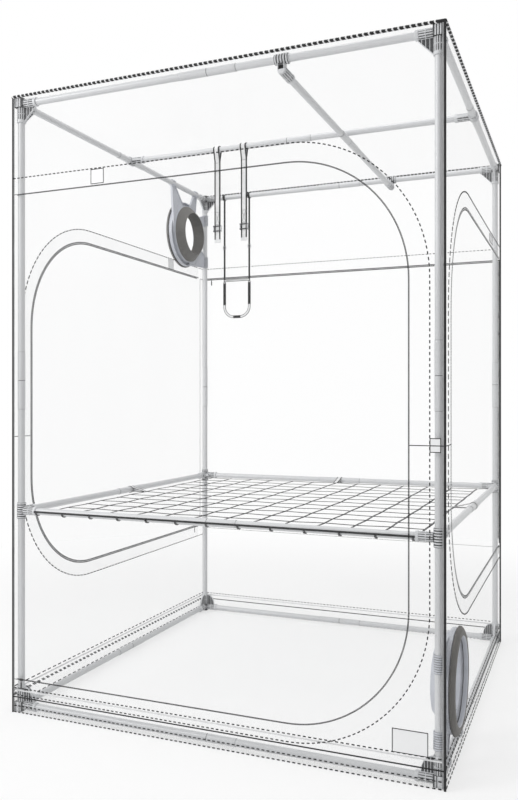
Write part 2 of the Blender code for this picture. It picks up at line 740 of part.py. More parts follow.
def hanging_strap(name, x, slide):
    """Webbing looped over the level bar, with its buckle."""
    inner = POLE_RADIUS + STRAP_LOOP_GAP
    outer = inner + STRAP_THICK
    lean = asin(outer / STRAP_NECK)
    over = arc(0, 0, outer, -lean, pi + lean, ARC_STEPS)
    under = arc(0, 0, inner, -lean, pi + lean, ARC_STEPS)
    tail = [(-STRAP_THICK, -STRAP_NECK), (-STRAP_THICK, -STRAP_TAIL_END), (STRAP_THICK, -STRAP_TAIL_END),
            (STRAP_THICK, -STRAP_NECK)]
    crotch = [(0, -STRAP_NECK)]
    half = STRAP_WIDTH / 2
    strap = prism(name, [over + tail, under + crotch], x - half, x + half, on_side)
    strap.data.transform(Matrix.Translation((0, 0, TOP_Z)))
    seated(strap, (x, 0, TOP_Z), "webbing", slide)
    wide = half + BUCKLE_SLACK + BUCKLE_WALL
    deep = STRAP_THICK + BUCKLE_SLACK + BUCKLE_WALL
    top = TOP_Z - STRAP_BUCKLE_TOP
    buckle = block(name + "_buckle", (x - wide, -deep, top - BUCKLE_HEIGHT), (x + wide, deep, top))
    slot = (half + BUCKLE_SLACK, STRAP_THICK + BUCKLE_SLACK)
    hole = block("slot", (x - slot[0], -slot[1], top - BUCKLE_HEIGHT - OVERRUN),
                 (x + slot[0], slot[1], top + OVERRUN))
    combined(buckle, [hole], "DIFFERENCE")
    seated(buckle, (x, 0, top), "slider", strap)


# Sling on the back top pole


def sling_outlines(top):
    """Front view of the sling: two runs, a round bottom and a cross strap."""
    half = SLING_WIDTH / 2
    edge = half - SLING_BAND
    bend = half - SLING_BEND
    middle = SLING_BEND - SLING_DROP
    cross_top = -SLING_CROSS_DROP
    cross_low = cross_top - SLING_CROSS_BAND
    right = [(bend + u, middle + v) for u, v in arc(0, 0, SLING_BEND, 0, -pi / 2)]
    right = [(half, top)] + right
    outer = right + [(-u, v) for u, v in right[::-1]]
    outer += [(-edge, top), (-edge, cross_top), (edge, cross_top), (edge, top)]
    low = [(bend + u, middle + v) for u, v in arc(0, 0, SLING_BEND - SLING_BAND, 0, -pi / 2)]
    low = [(edge, cross_low)] + low
    return [outer, low + [(-u, v) for u, v in low[::-1]]]


def sling():
    ring_in = POLE_RADIUS + SLING_RING_GAP
    ring_out = ring_in + SLING_THICK
    thick = SLING_THICK / 2
    body = prism("sling", sling_outlines(-(ring_in + ring_out) / 2), -thick, thick, on_front)
    ring = [circle(0, 0, ring_out, ROUND_SIDES), circle(0, 0, ring_in, ROUND_SIDES)]
    middle = (SLING_WIDTH - SLING_BAND) / 2
    half = SLING_BAND / 2 - GAP
    rings = [prism("ring", ring, sx * middle - half, sx * middle + half, on_side) for sx in (-1, 1)]
    combined(body, rings, "UNION")
    place = Vector((-SLING_X, POST_Y, TOP_Z))
    body.data.transform(Matrix.Translation(place))
    seated(body, place, "webbing")


# Duct flanges


def bracket_arm(name, out, offset, half, near_shares, lay):
    """A tapered arm from the ring out to a hook or a clip. The arm beside the corner is the narrow one."""
    if offset < 0:
        side = -1
        shares = FAR_ARM_SHARES
    else:
        side = 1
        shares = near_shares
    inner_foot, outer_foot = [(u * BRACKET_OUTER, v * BRACKET_OUTER) for u, v in shares]
    middle = abs(offset)
    points = [outer_foot, (middle + half, out), (middle - half, out), inner_foot]
    points = [(side * u, v) for u, v in points]
    depth = POLE_INSET - FABRIC
    return prism(name, [points], depth - ARM_THICK / 2, depth + ARM_THICK / 2, lay)


def flange_bracket():
    """The bracket at the origin: inward is +X, its post lies at +Y and its pole at +Z."""
    axis_x = POLE_INSET - FABRIC
    near = BRACKET_WALL_GAP
    far = near + BRACKET_DEPTH
    body = rod("bracket", [(BRACKET_OUTER, near), (BRACKET_OUTER, far)], "X", (0, 0, 0), FLANGE_SIDES)
    tools = []
    for hook_at, clip_at in ((-HOOK_FAR_OFFSET, -CLIP_OFFSET), (HOOK_NEAR_OFFSET, CLIP_OFFSET)):
        hook_half = HOOK_HALF_LENGTH - GAP
        clip_half = CLIP_HALF_HEIGHT - GAP
        tools.append(bracket_arm("hook_arm", FLANGE_FROM_POLE, hook_at, hook_half, NEAR_HOOK_SHARES, on_side))
        tools.append(bracket_arm("clip_arm", FLANGE_FROM_POST, clip_at, clip_half, NEAR_CLIP_SHARES, turned_side))
        hook = [(CLIP_RADIUS, -HOOK_HALF_LENGTH), (CLIP_RADIUS, HOOK_HALF_LENGTH)]
        tools.append(rod("hook", hook, "Y", (axis_x, hook_at, FLANGE_FROM_POLE)))
        clip = [(CLIP_RADIUS, -CLIP_HALF_HEIGHT), (CLIP_RADIUS, CLIP_HALF_HEIGHT)]
        tools.append(rod("clip", clip, "Z", (axis_x, FLANGE_FROM_POST, clip_at)))
    combined(body, tools, "UNION")
    bore = rod("duct_bore", [(BRACKET_BORE, near - OVERRUN), (BRACKET_BORE, far + OVERRUN)], "X", (0, 0, 0),
               FLANGE_SIDES)
    reach_y = HOOK_FAR_OFFSET + HOOK_HALF_LENGTH + OVERRUN
    reach_z = CLIP_OFFSET + CLIP_HALF_HEIGHT + OVERRUN
    pole_cut = rod("pole_cut", [(BORE_RADIUS, -reach_y), (BORE_RADIUS, reach_y)], "Y",
                   (axis_x, 0, FLANGE_FROM_POLE))
    post_cut = rod("post_cut", [(BORE_RADIUS, -reach_z), (BORE_RADIUS, reach_z)], "Z",
                   (axis_x, FLANGE_FROM_POST, 0))
    mouth = block("mouth", (axis_x, -reach_y, FLANGE_FROM_POLE - HOOK_MOUTH / 2),
                  (axis_x + CLIP_RADIUS + OVERRUN, reach_y, FLANGE_FROM_POLE + HOOK_MOUTH / 2))
    return combined(body, [bore, pole_cut, post_cut, mouth], "DIFFERENCE")


def duct_ring():
    """The outer ring, with rounded edges, on the outside of the wall at -X."""
    inner = BRACKET_BORE
    outer = DUCT_RING_OUTER
    edge = DUCT_RING_EDGE
    near = -FABRIC - GAP
    far = near - DUCT_RING_THICK
    profile = [(inner, near), (outer, near), (outer, far + edge), (outer - edge, far), (inner + edge, far),
               (inner, far + edge)]
    return turned("duct_ring", profile, "X", (0, 0, 0), FLANGE_SIDES)


def duct_reducer():
    """A cone that narrows into the tent, with a short tube back towards the wall."""
    seat = BRACKET_WALL_GAP + BRACKET_DEPTH + GAP
    tube = REDUCER_BORE + REDUCER_SKIN
    tip = seat + REDUCER_RISE
    profile = [
        (BRACKET_BORE - GAP, seat),
        (REDUCER_RIM, seat),
        (REDUCER_RIM, seat + REDUCER_SKIN),
        (tube, tip),
        (REDUCER_BORE, tip),
        (REDUCER_BORE, seat - REDUCER_BACK),
        (tube, seat - REDUCER_BACK),
        (tube, tip - REDUCER_TIP_WALL),
    ]
    return turned("duct_reducer", profile, "X", (0, 0, 0), FLANGE_SIDES)


def duct_flanges():
    pieces = {"flange_bracket": (flange_bracket(), "bracket"), "duct_ring": (duct_ring(), "rubber"),
              "duct_reducer": (duct_reducer(), "rubber")}
    for side, sx in (("left", -1), ("right", 1)):
        y, z = flange_place(sx)
        centre = Vector((sx * WALL_IN_X, y, z))
        for name, (piece, finish) in pieces.items():
            copy = mirrored(name + "_" + side, piece, (-sx, -sx, -sx), centre)
            seated(copy, centre, finish)
    for piece, finish in pieces.values():
        bpy.data.objects.remove(piece, do_unlink=True)


clear_scene()
frame_poles()
corner_connectors()
level_slide = level_bar()
hung_bar()
net_slide = pivot("slide_net", (0, 0, NET_POLE_HEIGHT))
net_poles(net_slide)
net_clips(net_slide)
plant_net(net_slide)
skin()
zipped_panels()
hanging_strap("strap_left", -STRAP_FAR_X, level_slide)
hanging_strap("strap_right", -STRAP_NEAR_X, level_slide)
sling()
duct_flanges()
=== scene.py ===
from math import asin, cos, pi, radians, sin, sqrt

import bmesh
import bpy
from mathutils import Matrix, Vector
from mathutils.geometry import delaunay_2d_cdt


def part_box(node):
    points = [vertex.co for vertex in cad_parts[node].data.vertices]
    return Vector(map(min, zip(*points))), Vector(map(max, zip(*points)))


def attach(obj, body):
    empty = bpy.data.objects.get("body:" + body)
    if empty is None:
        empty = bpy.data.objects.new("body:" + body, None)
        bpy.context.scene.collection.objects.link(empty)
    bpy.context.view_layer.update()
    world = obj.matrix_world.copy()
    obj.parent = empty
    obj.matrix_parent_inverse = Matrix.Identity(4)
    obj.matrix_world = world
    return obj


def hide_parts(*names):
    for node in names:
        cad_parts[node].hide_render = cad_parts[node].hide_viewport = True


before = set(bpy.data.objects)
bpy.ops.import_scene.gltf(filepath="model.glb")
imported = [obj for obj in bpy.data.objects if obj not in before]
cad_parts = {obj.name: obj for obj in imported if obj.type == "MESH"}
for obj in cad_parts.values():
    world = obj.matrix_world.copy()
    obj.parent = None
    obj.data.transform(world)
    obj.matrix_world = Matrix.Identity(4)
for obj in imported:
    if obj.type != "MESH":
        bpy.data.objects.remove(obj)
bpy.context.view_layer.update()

# Camera: it stands in front of the tent and a little to its right, level and near half height, as in the
# drawing. It is turned to the left, so that the front and the right side both show.
CAMERA_PLACE = (1.0398, -2.7948, 1.0145)
CAMERA_TURN = 0.3917
CAMERA_LENS = 36.0
CAMERA_REACH = 400.0
camera_data = bpy.data.cameras.new("camera")
camera_data.lens = CAMERA_LENS
camera_data.sensor_width = CAMERA_LENS
camera_data.clip_end = CAMERA_REACH
camera = bpy.data.objects.new("camera", camera_data)
camera.location = CAMERA_PLACE
camera.rotation_euler = (pi / 2, 0, CAMERA_TURN)
bpy.context.scene.collection.objects.link(camera)
bpy.context.scene.camera = camera

# Studio: a white floor that fades into a white room and keeps the tent's soft shadow.
# Two large soft lamps and an even room light the white poles from the front and from above.
FLOOR_REACH = 120.0
FLOOR_DROP = 0.001
FLOOR_PAINT = (0.93, 0.93, 0.93, 1.0)
FLOOR_ROUGH = 1.0
ROOM_WHITE = (1, 1, 1, 1)
FLOOR_GLOW_NEAR = 0.68
FLOOR_FADE_START = 1.3
FLOOR_FADE_END = 3.2
ROOM_LIGHT = 0.52
CLEAR_LAYERS = 48
LAMPS = (
    ("lamp_front", (-3.4, -3.6, 3.2), 2.4, 135.0),
    ("lamp_over", (0.4, -0.6, 5.0), 2.6, 60.0),
)
LAMP_AIM = Vector((0, 0, 0.9))


def shader_nodes(name):
    """A new node material, with its tree and its shader."""
    made = bpy.data.materials.new(name)
    made.use_nodes = True
    return made, made.node_tree, made.node_tree.nodes["Principled BSDF"]


def reckoned(tree, operation, *values):
    """The result of a sum on other nodes' values."""
    made = tree.nodes.new("ShaderNodeMath")
    made.operation = operation
    for value, socket in zip(values, made.inputs):
        tree.links.new(value, socket)
    return made.outputs[0]


def ranged(tree, value, low, high=1.0):
    """A share between nought and one, spread from a low to a high value."""
    made = tree.nodes.new("ShaderNodeMapRange")
    made.inputs["To Min"].default_value = low
    made.inputs["To Max"].default_value = high
    tree.links.new(value, made.inputs["Value"])
    return made.outputs["Result"]


def seen_directly(tree):
    """One where the camera, a reflection or a clear piece looks at the surface."""
    rays = tree.nodes.new("ShaderNodeLightPath").outputs
    seen = reckoned(tree, "MAXIMUM", rays["Is Camera Ray"], rays["Is Glossy Ray"])
    return reckoned(tree, "MAXIMUM", seen, rays["Is Transmission Ray"])


def floor_fade(tree):
    """The share of white glow in the floor, which grows away from the tent."""
    place = tree.nodes.new("ShaderNodeNewGeometry")
    away = tree.nodes.new("ShaderNodeVectorMath")
    away.operation = "LENGTH"
    tree.links.new(place.outputs["Position"], away.inputs[0])
    fade = tree.nodes.new("ShaderNodeMapRange")
    fade.interpolation_type = "SMOOTHSTEP"
    fade.inputs["From Min"].default_value = FLOOR_FADE_START
    fade.inputs["From Max"].default_value = FLOOR_FADE_END
    fade.inputs["To Min"].default_value = FLOOR_GLOW_NEAR
    tree.links.new(away.outputs["Value"], fade.inputs["Value"])
    return reckoned(tree, "MULTIPLY", fade.outputs["Result"], seen_directly(tree))


def floor_paint():
    """Matt white paint that gives way to an even white glow."""
    made, tree, paint = shader_nodes("studio_floor")
    paint.inputs["Base Color"].default_value = FLOOR_PAINT
    paint.inputs["Roughness"].default_value = FLOOR_ROUGH
    paint.inputs["Specular IOR Level"].default_value = 0.0
    glow = tree.nodes.new("ShaderNodeEmission")
    blend = tree.nodes.new("ShaderNodeMixShader")
    sources = (floor_fade(tree), paint.outputs["BSDF"], glow.outputs["Emission"])
    for source, socket in zip(sources, blend.inputs):
        tree.links.new(source, socket)
    tree.links.new(blend.outputs["Shader"], tree.nodes["Material Output"].inputs["Surface"])
    return made


def studio_floor():
    """A wide flat floor just below the tent's foot."""
    bm = bmesh.new()
    bmesh.ops.create_grid(bm, x_segments=1, y_segments=1, size=FLOOR_REACH)
    mesh = bpy.data.meshes.new("studio_floor")
    bm.to_mesh(mesh)
    bm.free()
    mesh.materials.append(floor_paint())
    floor = bpy.data.objects.new("studio_floor", mesh)
    floor.location.z = -FLOOR_DROP
    bpy.context.scene.collection.objects.link(floor)


def studio_room():
    """A room that looks white and lights the tent at a lower strength."""
    world = bpy.data.worlds.new("studio_room")
    bpy.context.scene.world = world
    world.use_nodes = True
    tree = world.node_tree
    room = tree.nodes["Background"]
    tree.links.new(ranged(tree, seen_directly(tree), ROOM_LIGHT), room.inputs["Strength"])
    room.inputs["Color"].default_value = ROOM_WHITE


def studio_lamps():
    for name, place, size, power in LAMPS:
        data = bpy.data.lights.new(name, "AREA")
        data.size = size
        data.energy = power
        lamp = bpy.data.objects.new(name, data)
        lamp.location = place
        lamp.rotation_euler = (LAMP_AIM - Vector(place)).to_track_quat("-Z", "Y").to_euler()
        bpy.context.scene.collection.objects.link(lamp)


studio_floor()
studio_room()
studio_lamps()
bpy.context.scene.view_settings.view_transform = "Standard"
bpy.context.scene.cycles.transparent_max_bounces = CLEAR_LAYERS

# Poles: steel tubes with a white powder coat, each in two lengths that meet in a pressed sleeve.
# Posts stand in the corner connectors, and level poles run between them, two centimetres inside the fabric.
POLE_RADIUS = 0.011
POLE_WALL = 0.0012
SLEEVE_RADIUS = 0.012
SLEEVE_HALF = 0.093
SLEEVE_LIP = 0.0006
SLEEVE_CRIMP = 0.006
JOINT_HALF = 0.0008
POST_JOINT = 1.078
POLE_SIDES = 40
DARK_RINGS = (3, 4, 5, 11, 12, 13, 19, 20, 21)
POLE_PAINT = (0.66, 0.668, 0.68)
POLE_SKIN = (0.96, 0.34, 650.0, 0.00010, 5.0)
POLE_COAT = 0.15
DARK_LINE = (0.035, 0.036, 0.038)
LINE_SKIN = (0.7, 0.55, 900.0, 0.00005, 7.0)
DRIFT_FROM = 0.35
DRIFT_TO = 0.70
DRIFT_DETAIL = 3.0
SKIN_DETAIL = 2.0
SKIN_BUMP = 0.35
WORN_SMOOTH = 0.06
WORN_ROUGH = 0.08
COAT_ROUGH = 0.2
SHARP_EDGE = radians(38)
TURNS = {"X": (1, 2, 0), "Y": (2, 0, 1), "Z": (0, 1, 2)}


class Stock:
    """Points and faces that are gathered for one piece, with the number of each face's finish."""

    def __init__(self):
        self.points = []
        self.faces = []
        self.finishes = []

    def take(self, points, faces, finish=0):
        start = len(self.points)
        self.points += [tuple(point) for point in points]
        self.faces += [tuple(start + corner for corner in face) for face in faces]
        self.finishes += [finish] * len(faces)


def made_piece(name, stock, finishes, body, stands_for=(), smooth=True):
    """Turn gathered stock into a piece that rides on a body and may stand for nodes."""
    mesh = bpy.data.meshes.new(name)
    mesh.from_pydata(stock.points, [], stock.faces)
    mesh.polygons.foreach_set("material_index", stock.finishes)
    bm = bmesh.new()
    bm.from_mesh(mesh)
    bmesh.ops.recalc_face_normals(bm, faces=bm.faces)
    bm.to_mesh(mesh)
    bm.free()
    mesh.polygons.foreach_set("use_smooth", [smooth] * len(mesh.polygons))
    mesh.set_sharp_from_angle(angle=SHARP_EDGE)
    for finish in finishes:
        mesh.materials.append(finish)
    piece = bpy.data.objects.new(name, mesh)
    bpy.context.scene.collection.objects.link(piece)
    if stands_for:
        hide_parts(*stands_for)
    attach(piece, body)
    return piece


def sweep(start, end, steps):
    """Evenly spaced angles from a start to an end."""
    return [start + (end - start) * step / steps for step in range(steps + 1)]


def arc(centre, radii, start, end, steps):
    """Places along part of a circle, or of an oval where the two radii differ."""
    turns = sweep(start, end, steps)
    return [(centre[0] + radii[0] * cos(turn), centre[1] + radii[1] * sin(turn)) for turn in turns]


def circle(centre, radius, steps):
    return arc(centre, (radius, radius), 0, 2 * pi, steps)[:-1]


def turned(outline, sides=POLE_SIDES, closed=True):
    """Points and faces of an outline of radius and height pairs, turned about Z."""
    points = []
    for radius, height in outline:
        points += [(x, y, height) for x, y in circle((0, 0), radius, sides)]
    faces = []
    rings = len(outline)
    for ring in range(rings if closed else rings - 1):
        here = ring * sides
        there = (ring + 1) % rings * sides
        for step in range(sides):
            after = (step + 1) % sides
            faces.append((here + step, here + after, there + after, there + step))
    if not closed:
        faces.append(tuple(range(sides)))
        faces.append(tuple(range((rings - 1) * sides, rings * sides)))
    return points, faces


def laid(points, axis, place=(0, 0, 0)):
    """Turn points from the Z axis to a world axis and move them to a place."""
    order = TURNS[axis]
    return [tuple(point[order.index(k)] + place[k] for k in range(3)) for point in points]


def surface_place(tree, stretch=(1, 1, 1)):
    """The place on a piece, which its patterns follow."""
    place = tree.nodes.new("ShaderNodeTexCoord")
    spread = tree.nodes.new("ShaderNodeMapping")
    spread.inputs["Scale"].default_value = stretch
    tree.links.new(place.outputs["Object"], spread.inputs["Vector"])
    return spread.outputs["Vector"]


def speckle(tree, place, scale, detail):
    """A pattern of soft random spots."""
    noise = tree.nodes.new("ShaderNodeTexNoise")
    noise.inputs["Scale"].default_value = scale
    noise.inputs["Detail"].default_value = detail
    tree.links.new(place, noise.inputs["Vector"])
    return noise.outputs["Fac"]


def drifting_tone(tree, shader, place, colour, shade, drift):
    """A colour that drifts to a darker shade of itself, with the pattern that it follows handed back."""
    pattern = speckle(tree, place, drift, DRIFT_DETAIL)
    ramp = tree.nodes.new("ShaderNodeValToRGB")
    dark, light = ramp.color_ramp.elements
    dark.position = DRIFT_FROM
    dark.color = (*[part * shade for part in colour], 1)
    light.position = DRIFT_TO
    light.color = (*colour, 1)
    tree.links.new(pattern, ramp.inputs["Fac"])
    tree.links.new(ramp.outputs["Color"], shader.inputs["Base Color"])
    return pattern


def add_bump(tree, shader, height, strength, distance):
    """A relief of the given depth that catches the light without changing the outline."""
    bump = tree.nodes.new("ShaderNodeBump")
    bump.inputs["Strength"].default_value = strength
    bump.inputs["Distance"].default_value = distance
    tree.links.new(height, bump.inputs["Height"])
    tree.links.new(bump.outputs["Normal"], shader.inputs["Normal"])


def painted(name, colour, skin, coat=0.0):
    """Paint or moulded plastic. Its skin gives the dark share, roughness, grain, depth and drift."""
    shade, roughness, grain, depth, drift = skin
    made, tree, shader = shader_nodes(name)
    place = surface_place(tree)
    wear = drifting_tone(tree, shader, place, colour, shade, drift)
    add_bump(tree, shader, speckle(tree, place, grain, SKIN_DETAIL), SKIN_BUMP, depth)
    rough = ranged(tree, wear, roughness - WORN_SMOOTH, roughness + WORN_ROUGH)
    tree.links.new(rough, shader.inputs["Roughness"])
    shader.inputs["Coat Weight"].default_value = coat
    shader.inputs["Coat Roughness"].default_value = COAT_ROUGH
    return made


pole_paint = painted("pole_paint", POLE_PAINT, POLE_SKIN, POLE_COAT)
joint_line = painted("joint_line", DARK_LINE, LINE_SKIN)


def tube_outline(low, high, joint):
    """Wall of a tube as radius and height pairs, with its sleeve and the joint line round it."""
    inner = POLE_RADIUS - POLE_WALL
    start = joint - SLEEVE_HALF
    end = joint + SLEEVE_HALF
    lip = SLEEVE_LIP
    crimp = SLEEVE_RADIUS - lip
    return [
        (inner, low), (POLE_RADIUS - lip, low), (POLE_RADIUS, low + lip),
        (POLE_RADIUS, start - lip), (POLE_RADIUS - lip, start - lip), (POLE_RADIUS - lip, start),
        (SLEEVE_RADIUS - lip / 2, start), (SLEEVE_RADIUS, start + lip),
        (SLEEVE_RADIUS, start + SLEEVE_CRIMP), (crimp, start + SLEEVE_CRIMP + lip),
        (SLEEVE_RADIUS, start + SLEEVE_CRIMP + 2 * lip),
        (SLEEVE_RADIUS, joint - JOINT_HALF), (POLE_RADIUS, joint - JOINT_HALF),
        (POLE_RADIUS, joint + JOINT_HALF), (SLEEVE_RADIUS, joint + JOINT_HALF),
        (SLEEVE_RADIUS, end - SLEEVE_CRIMP - 2 * lip), (crimp, end - SLEEVE_CRIMP - lip),
        (SLEEVE_RADIUS, end - SLEEVE_CRIMP),
        (SLEEVE_RADIUS, end - lip), (SLEEVE_RADIUS - lip / 2, end),
        (POLE_RADIUS - lip, end), (POLE_RADIUS - lip, end + lip), (POLE_RADIUS, end + lip),
        (POLE_RADIUS, high - lip), (POLE_RADIUS - lip, high), (inner, high),
    ]


def pole(node, axis, joint, body):
    """One pole in place of its node, on the same line and as long."""
    low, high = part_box(node)
    along = "XYZ".index(axis)
    middle = (low + high) / 2
    place = [middle.x, middle.y, middle.z]
    place[along] = 0
    points, faces = turned(tube_outline(low[along], high[along], joint))
    stock = Stock()
    stock.take(laid(points, axis, place), faces)
    stock.finishes = [1 if number // POLE_SIDES in DARK_RINGS else 0 for number in range(len(faces))]
    made_piece(node + "_tube", stock, [pole_paint, joint_line], body, [node])


for front_back in ("front", "back"):
    for left_right in ("left", "right"):
        pole("post_" + front_back + "_" + left_right, "Z", POST_JOINT, "tent")
for start, body in (("pole_bottom_", "tent"), ("pole_top_", "tent"), ("net_pole_", "net_frame")):
    for side, axis in (("front", "X"), ("back", "X"), ("left", "Y"), ("right", "Y")):
        pole(start + side, axis, 0.0, body)
pole("level_bar", "X", 0.0, "level_bar")
pole("hung_bar", "Y", 0.0, "hung_bar")

# Corner connectors: moulded in pale plastic, with three long-ribbed sockets that the poles push into.
# A web with three upright ribs braces each socket. The upper webs are straight and the lower ones arched.
# The floors of the grooves between ribs, the web plates and the hub's core are dark grey: painted shade in
# the recesses of the pale moulding.
POST_X = 0.675
LOW_Z = 0.020
TOP_Z = 1.980
SOCKET_CORE = 0.0126
SOCKET_RIB = 0.0138
SOCKET_RIBS = 12
RIB_SECTION = ((0.0, 0), (0.12, 1), (0.46, 1), (0.58, 0))
SOCKET_BORE = 0.0113
SOCKET_REACH = 0.062
GROOVE_FIRST = 12
GROOVE_EVERY = 16
COLLAR_RADIUS = 0.0148
COLLAR_LENGTH = 0.010
COLLAR_EDGE = 0.0012
WAIST_RADIUS = 0.0143
WAIST_SHARE = 0.52
WAIST_LENGTH = 0.0024
HUB_HALF = 0.0134
HUB_OUT = 0.0182
HUB_RIB_DEPTH = 0.0010
HUB_RIB_HALF = 0.0020
HUB_RIB_PLACES = (-0.0145, -0.0075, -0.0005, 0.0065)
TRAY_LAP = 0.0018
WEB_HALF = 0.0013
WEB_EDGE_HALF = 0.0036
WEB_EDGE_THICK = 0.0018
WEB_RIB_HALF = 0.0009
WEB_RIB_DEPTH = 0.0030
WEB_RIB_SHARES = (0.22, 0.47, 0.72)
WEB_REACH = SOCKET_REACH - COLLAR_LENGTH / 2
ARCH_REACH = 0.033
ARCH_STEPS = 14
PLASTIC = (0.70, 0.71, 0.725)
PLASTIC_SKIN = (0.90, 0.46, 420.0, 0.00014, 26.0)
# Dark grey for the buckle's bars, and as painted shade in the connectors' recesses.
DARK_AND_SHADE_GREY = (0.055, 0.056, 0.060)
DARK_AND_SHADE_SKIN = (0.75, 0.6, 420.0, 0.00014, 26.0)
SOFT_EDGE = 0.0005
BEVEL_FROM = radians(42)
BAND_CORNERS = ((-1, -1), (1, -1), (1, 1), (-1, 1))
SLAB_FACES = [(0, 1, 3, 2), (4, 6, 7, 5), (0, 4, 5, 1), (2, 3, 7, 6), (0, 2, 6, 4), (1, 5, 7, 3)]

plastic = painted("pale_plastic", PLASTIC, PLASTIC_SKIN)
dark_bars_and_recess_shade = painted("dark_bars_and_recess_shade", DARK_AND_SHADE_GREY, DARK_AND_SHADE_SKIN)


def slab(low, high):
    """Points and faces of a block between two corners."""
    points = [(x, y, z) for x in (low[0], high[0]) for y in (low[1], high[1]) for z in (low[2], high[2])]
    return points, SLAB_FACES


def ribbed_wall(core, rib, ribs, bore, low, high):
    """A tube whose outside has ribs along its length."""
    step = 2 * pi / ribs
    outer = []
    for number in range(ribs):
        for share, raised in RIB_SECTION:
            outer.append((rib if raised else core, (number + share) * step))
    count = len(outer)
    points = []
    for height in (low, high):
        points += [(radius * cos(angle), radius * sin(angle), height) for radius, angle in outer]
        points += [(bore * cos(angle), bore * sin(angle), height) for radius, angle in outer]
    faces = []
    for number in range(count):
        after = (number + 1) % count
        faces.append((number, after, 2 * count + after, 2 * count + number))
        faces.append((count + number, 3 * count + number, 3 * count + after, count + after))
        faces.append((number, count + number, count + after, after))
        faces.append((2 * count + number, 2 * count + after, 3 * count + after, 3 * count + number))
    return points, faces


def round_ring(bore, radius, low, high, edge):
    """A turned ring with rounded outer edges."""
    outline = [(bore, low), (radius - edge, low), (radius, low + edge), (radius, high - edge),
               (radius - edge, high), (bore, high)]
    return turned(outline)


def add_socket(stock, axis, reach, place=(0, 0, 0), start=0.0):
    """A ribbed socket along an axis, with a waist ring and a collar at its mouth."""
    collar = reach - COLLAR_LENGTH
    waist = reach * WAIST_SHARE
    wall_end = collar + COLLAR_EDGE
    points, faces = ribbed_wall(SOCKET_CORE, SOCKET_RIB, SOCKET_RIBS, SOCKET_BORE, start, wall_end)
    first = len(stock.faces)
    stock.take(laid(points, axis, place), faces)
    # The floor of each groove between ribs takes the second finish: painted shade.
    for groove in range(GROOVE_FIRST, len(faces), GROOVE_EVERY):
        stock.finishes[first + groove] = 1
    for points, faces in (
        round_ring(SOCKET_BORE, WAIST_RADIUS, waist, waist + WAIST_LENGTH, COLLAR_EDGE / 2),
        round_ring(SOCKET_BORE, COLLAR_RADIUS, collar, reach, COLLAR_EDGE),
    ):
        stock.take(laid(points, axis, place), faces)


def band_faces(count, closed=False):
    """Faces of a band that has four points at each station."""
    faces = []
    for number in range(count if closed else count - 1):
        here = 4 * number
        there = 4 * ((number + 1) % count)
        for corner in range(4):
            after = (corner + 1) % 4
            faces.append((here + corner, here + after, there + after, there + corner))
    if not closed:
        faces.append((0, 1, 2, 3))
        faces.append((4 * count - 1, 4 * count - 2, 4 * count - 3, 4 * count - 4))
    return faces


def ribbon(path, side, width, thick, closed=False):
    """A flat band along a path. Its width lies along the side, its thickness across it."""
    side = Vector(side).normalized()
    spots = [Vector(spot) for spot in path]
    count = len(spots)
    points = []
    for number, spot in enumerate(spots):
        before = spots[number - 1] if closed or number else spot
        after = spots[(number + 1) % count] if closed or number < count - 1 else spot
        normal = (after - before).normalized().cross(side) * (thick / 2)
        for across, up in BAND_CORNERS:
            points.append(spot + side * (width / 2 * across) + normal * up)
    return points, band_faces(count, closed)


def plate(outline, half, lay):
    """A flat plate with the given outline, laid in a plane."""
    count = len(outline)
    points = [lay(u, v, w) for w in (-half, half) for u, v in outline]
    faces = [tuple(range(count)), tuple(range(count, 2 * count))]
    for number in range(count):
        after = (number + 1) % count
        faces.append((number, after, count + after, count + number))
    return points, faces


def web_slope(arched):
    """The free edge of a web, from the mouth of one socket to the mouth of the other."""
    if not arched:
        return [(WEB_REACH, SOCKET_RIB), (SOCKET_RIB, WEB_REACH)]
    return arc((SOCKET_RIB, SOCKET_RIB), (ARCH_REACH, WEB_REACH - SOCKET_RIB), 0, pi / 2, ARCH_STEPS)


def slope_height(u, arched):
    """How high a web stands at a distance from the corner."""
    if not arched:
        return WEB_REACH + SOCKET_RIB - u
    return SOCKET_RIB + (WEB_REACH - SOCKET_RIB) * sqrt(1 - ((u - SOCKET_RIB) / ARCH_REACH) ** 2)


def add_web(stock, lay, side, arched):
    """The plate between two sockets, its thick rim and its three ribs."""
    slope = web_slope(arched)
    outline = [(0, 0), (slope[0][0], 0)] + slope + [(0, slope[-1][1])]
    # The web's plate, sunk between its rim and ribs, takes the second finish: painted shade.
    stock.take(*plate(outline, WEB_HALF, lay), 1)
    rim = [lay(u, v, 0) for u, v in slope]
    stock.take(*ribbon(rim, side, 2 * WEB_EDGE_HALF, WEB_EDGE_THICK))
    span = ARCH_REACH if arched else slope[0][0] - SOCKET_RIB
    for share in WEB_RIB_SHARES:
        u = SOCKET_RIB + share * span
        low = u - WEB_RIB_HALF
        high = u + WEB_RIB_HALF
        top = slope_height(u, arched)
        stock.take(*plate([(low, 0), (high, 0), (high, top), (low, top)], WEB_RIB_DEPTH, lay))


def facing_front(u, v, w):
    return (u, w, v)


def facing_side(u, v, w):
    return (w, u, v)


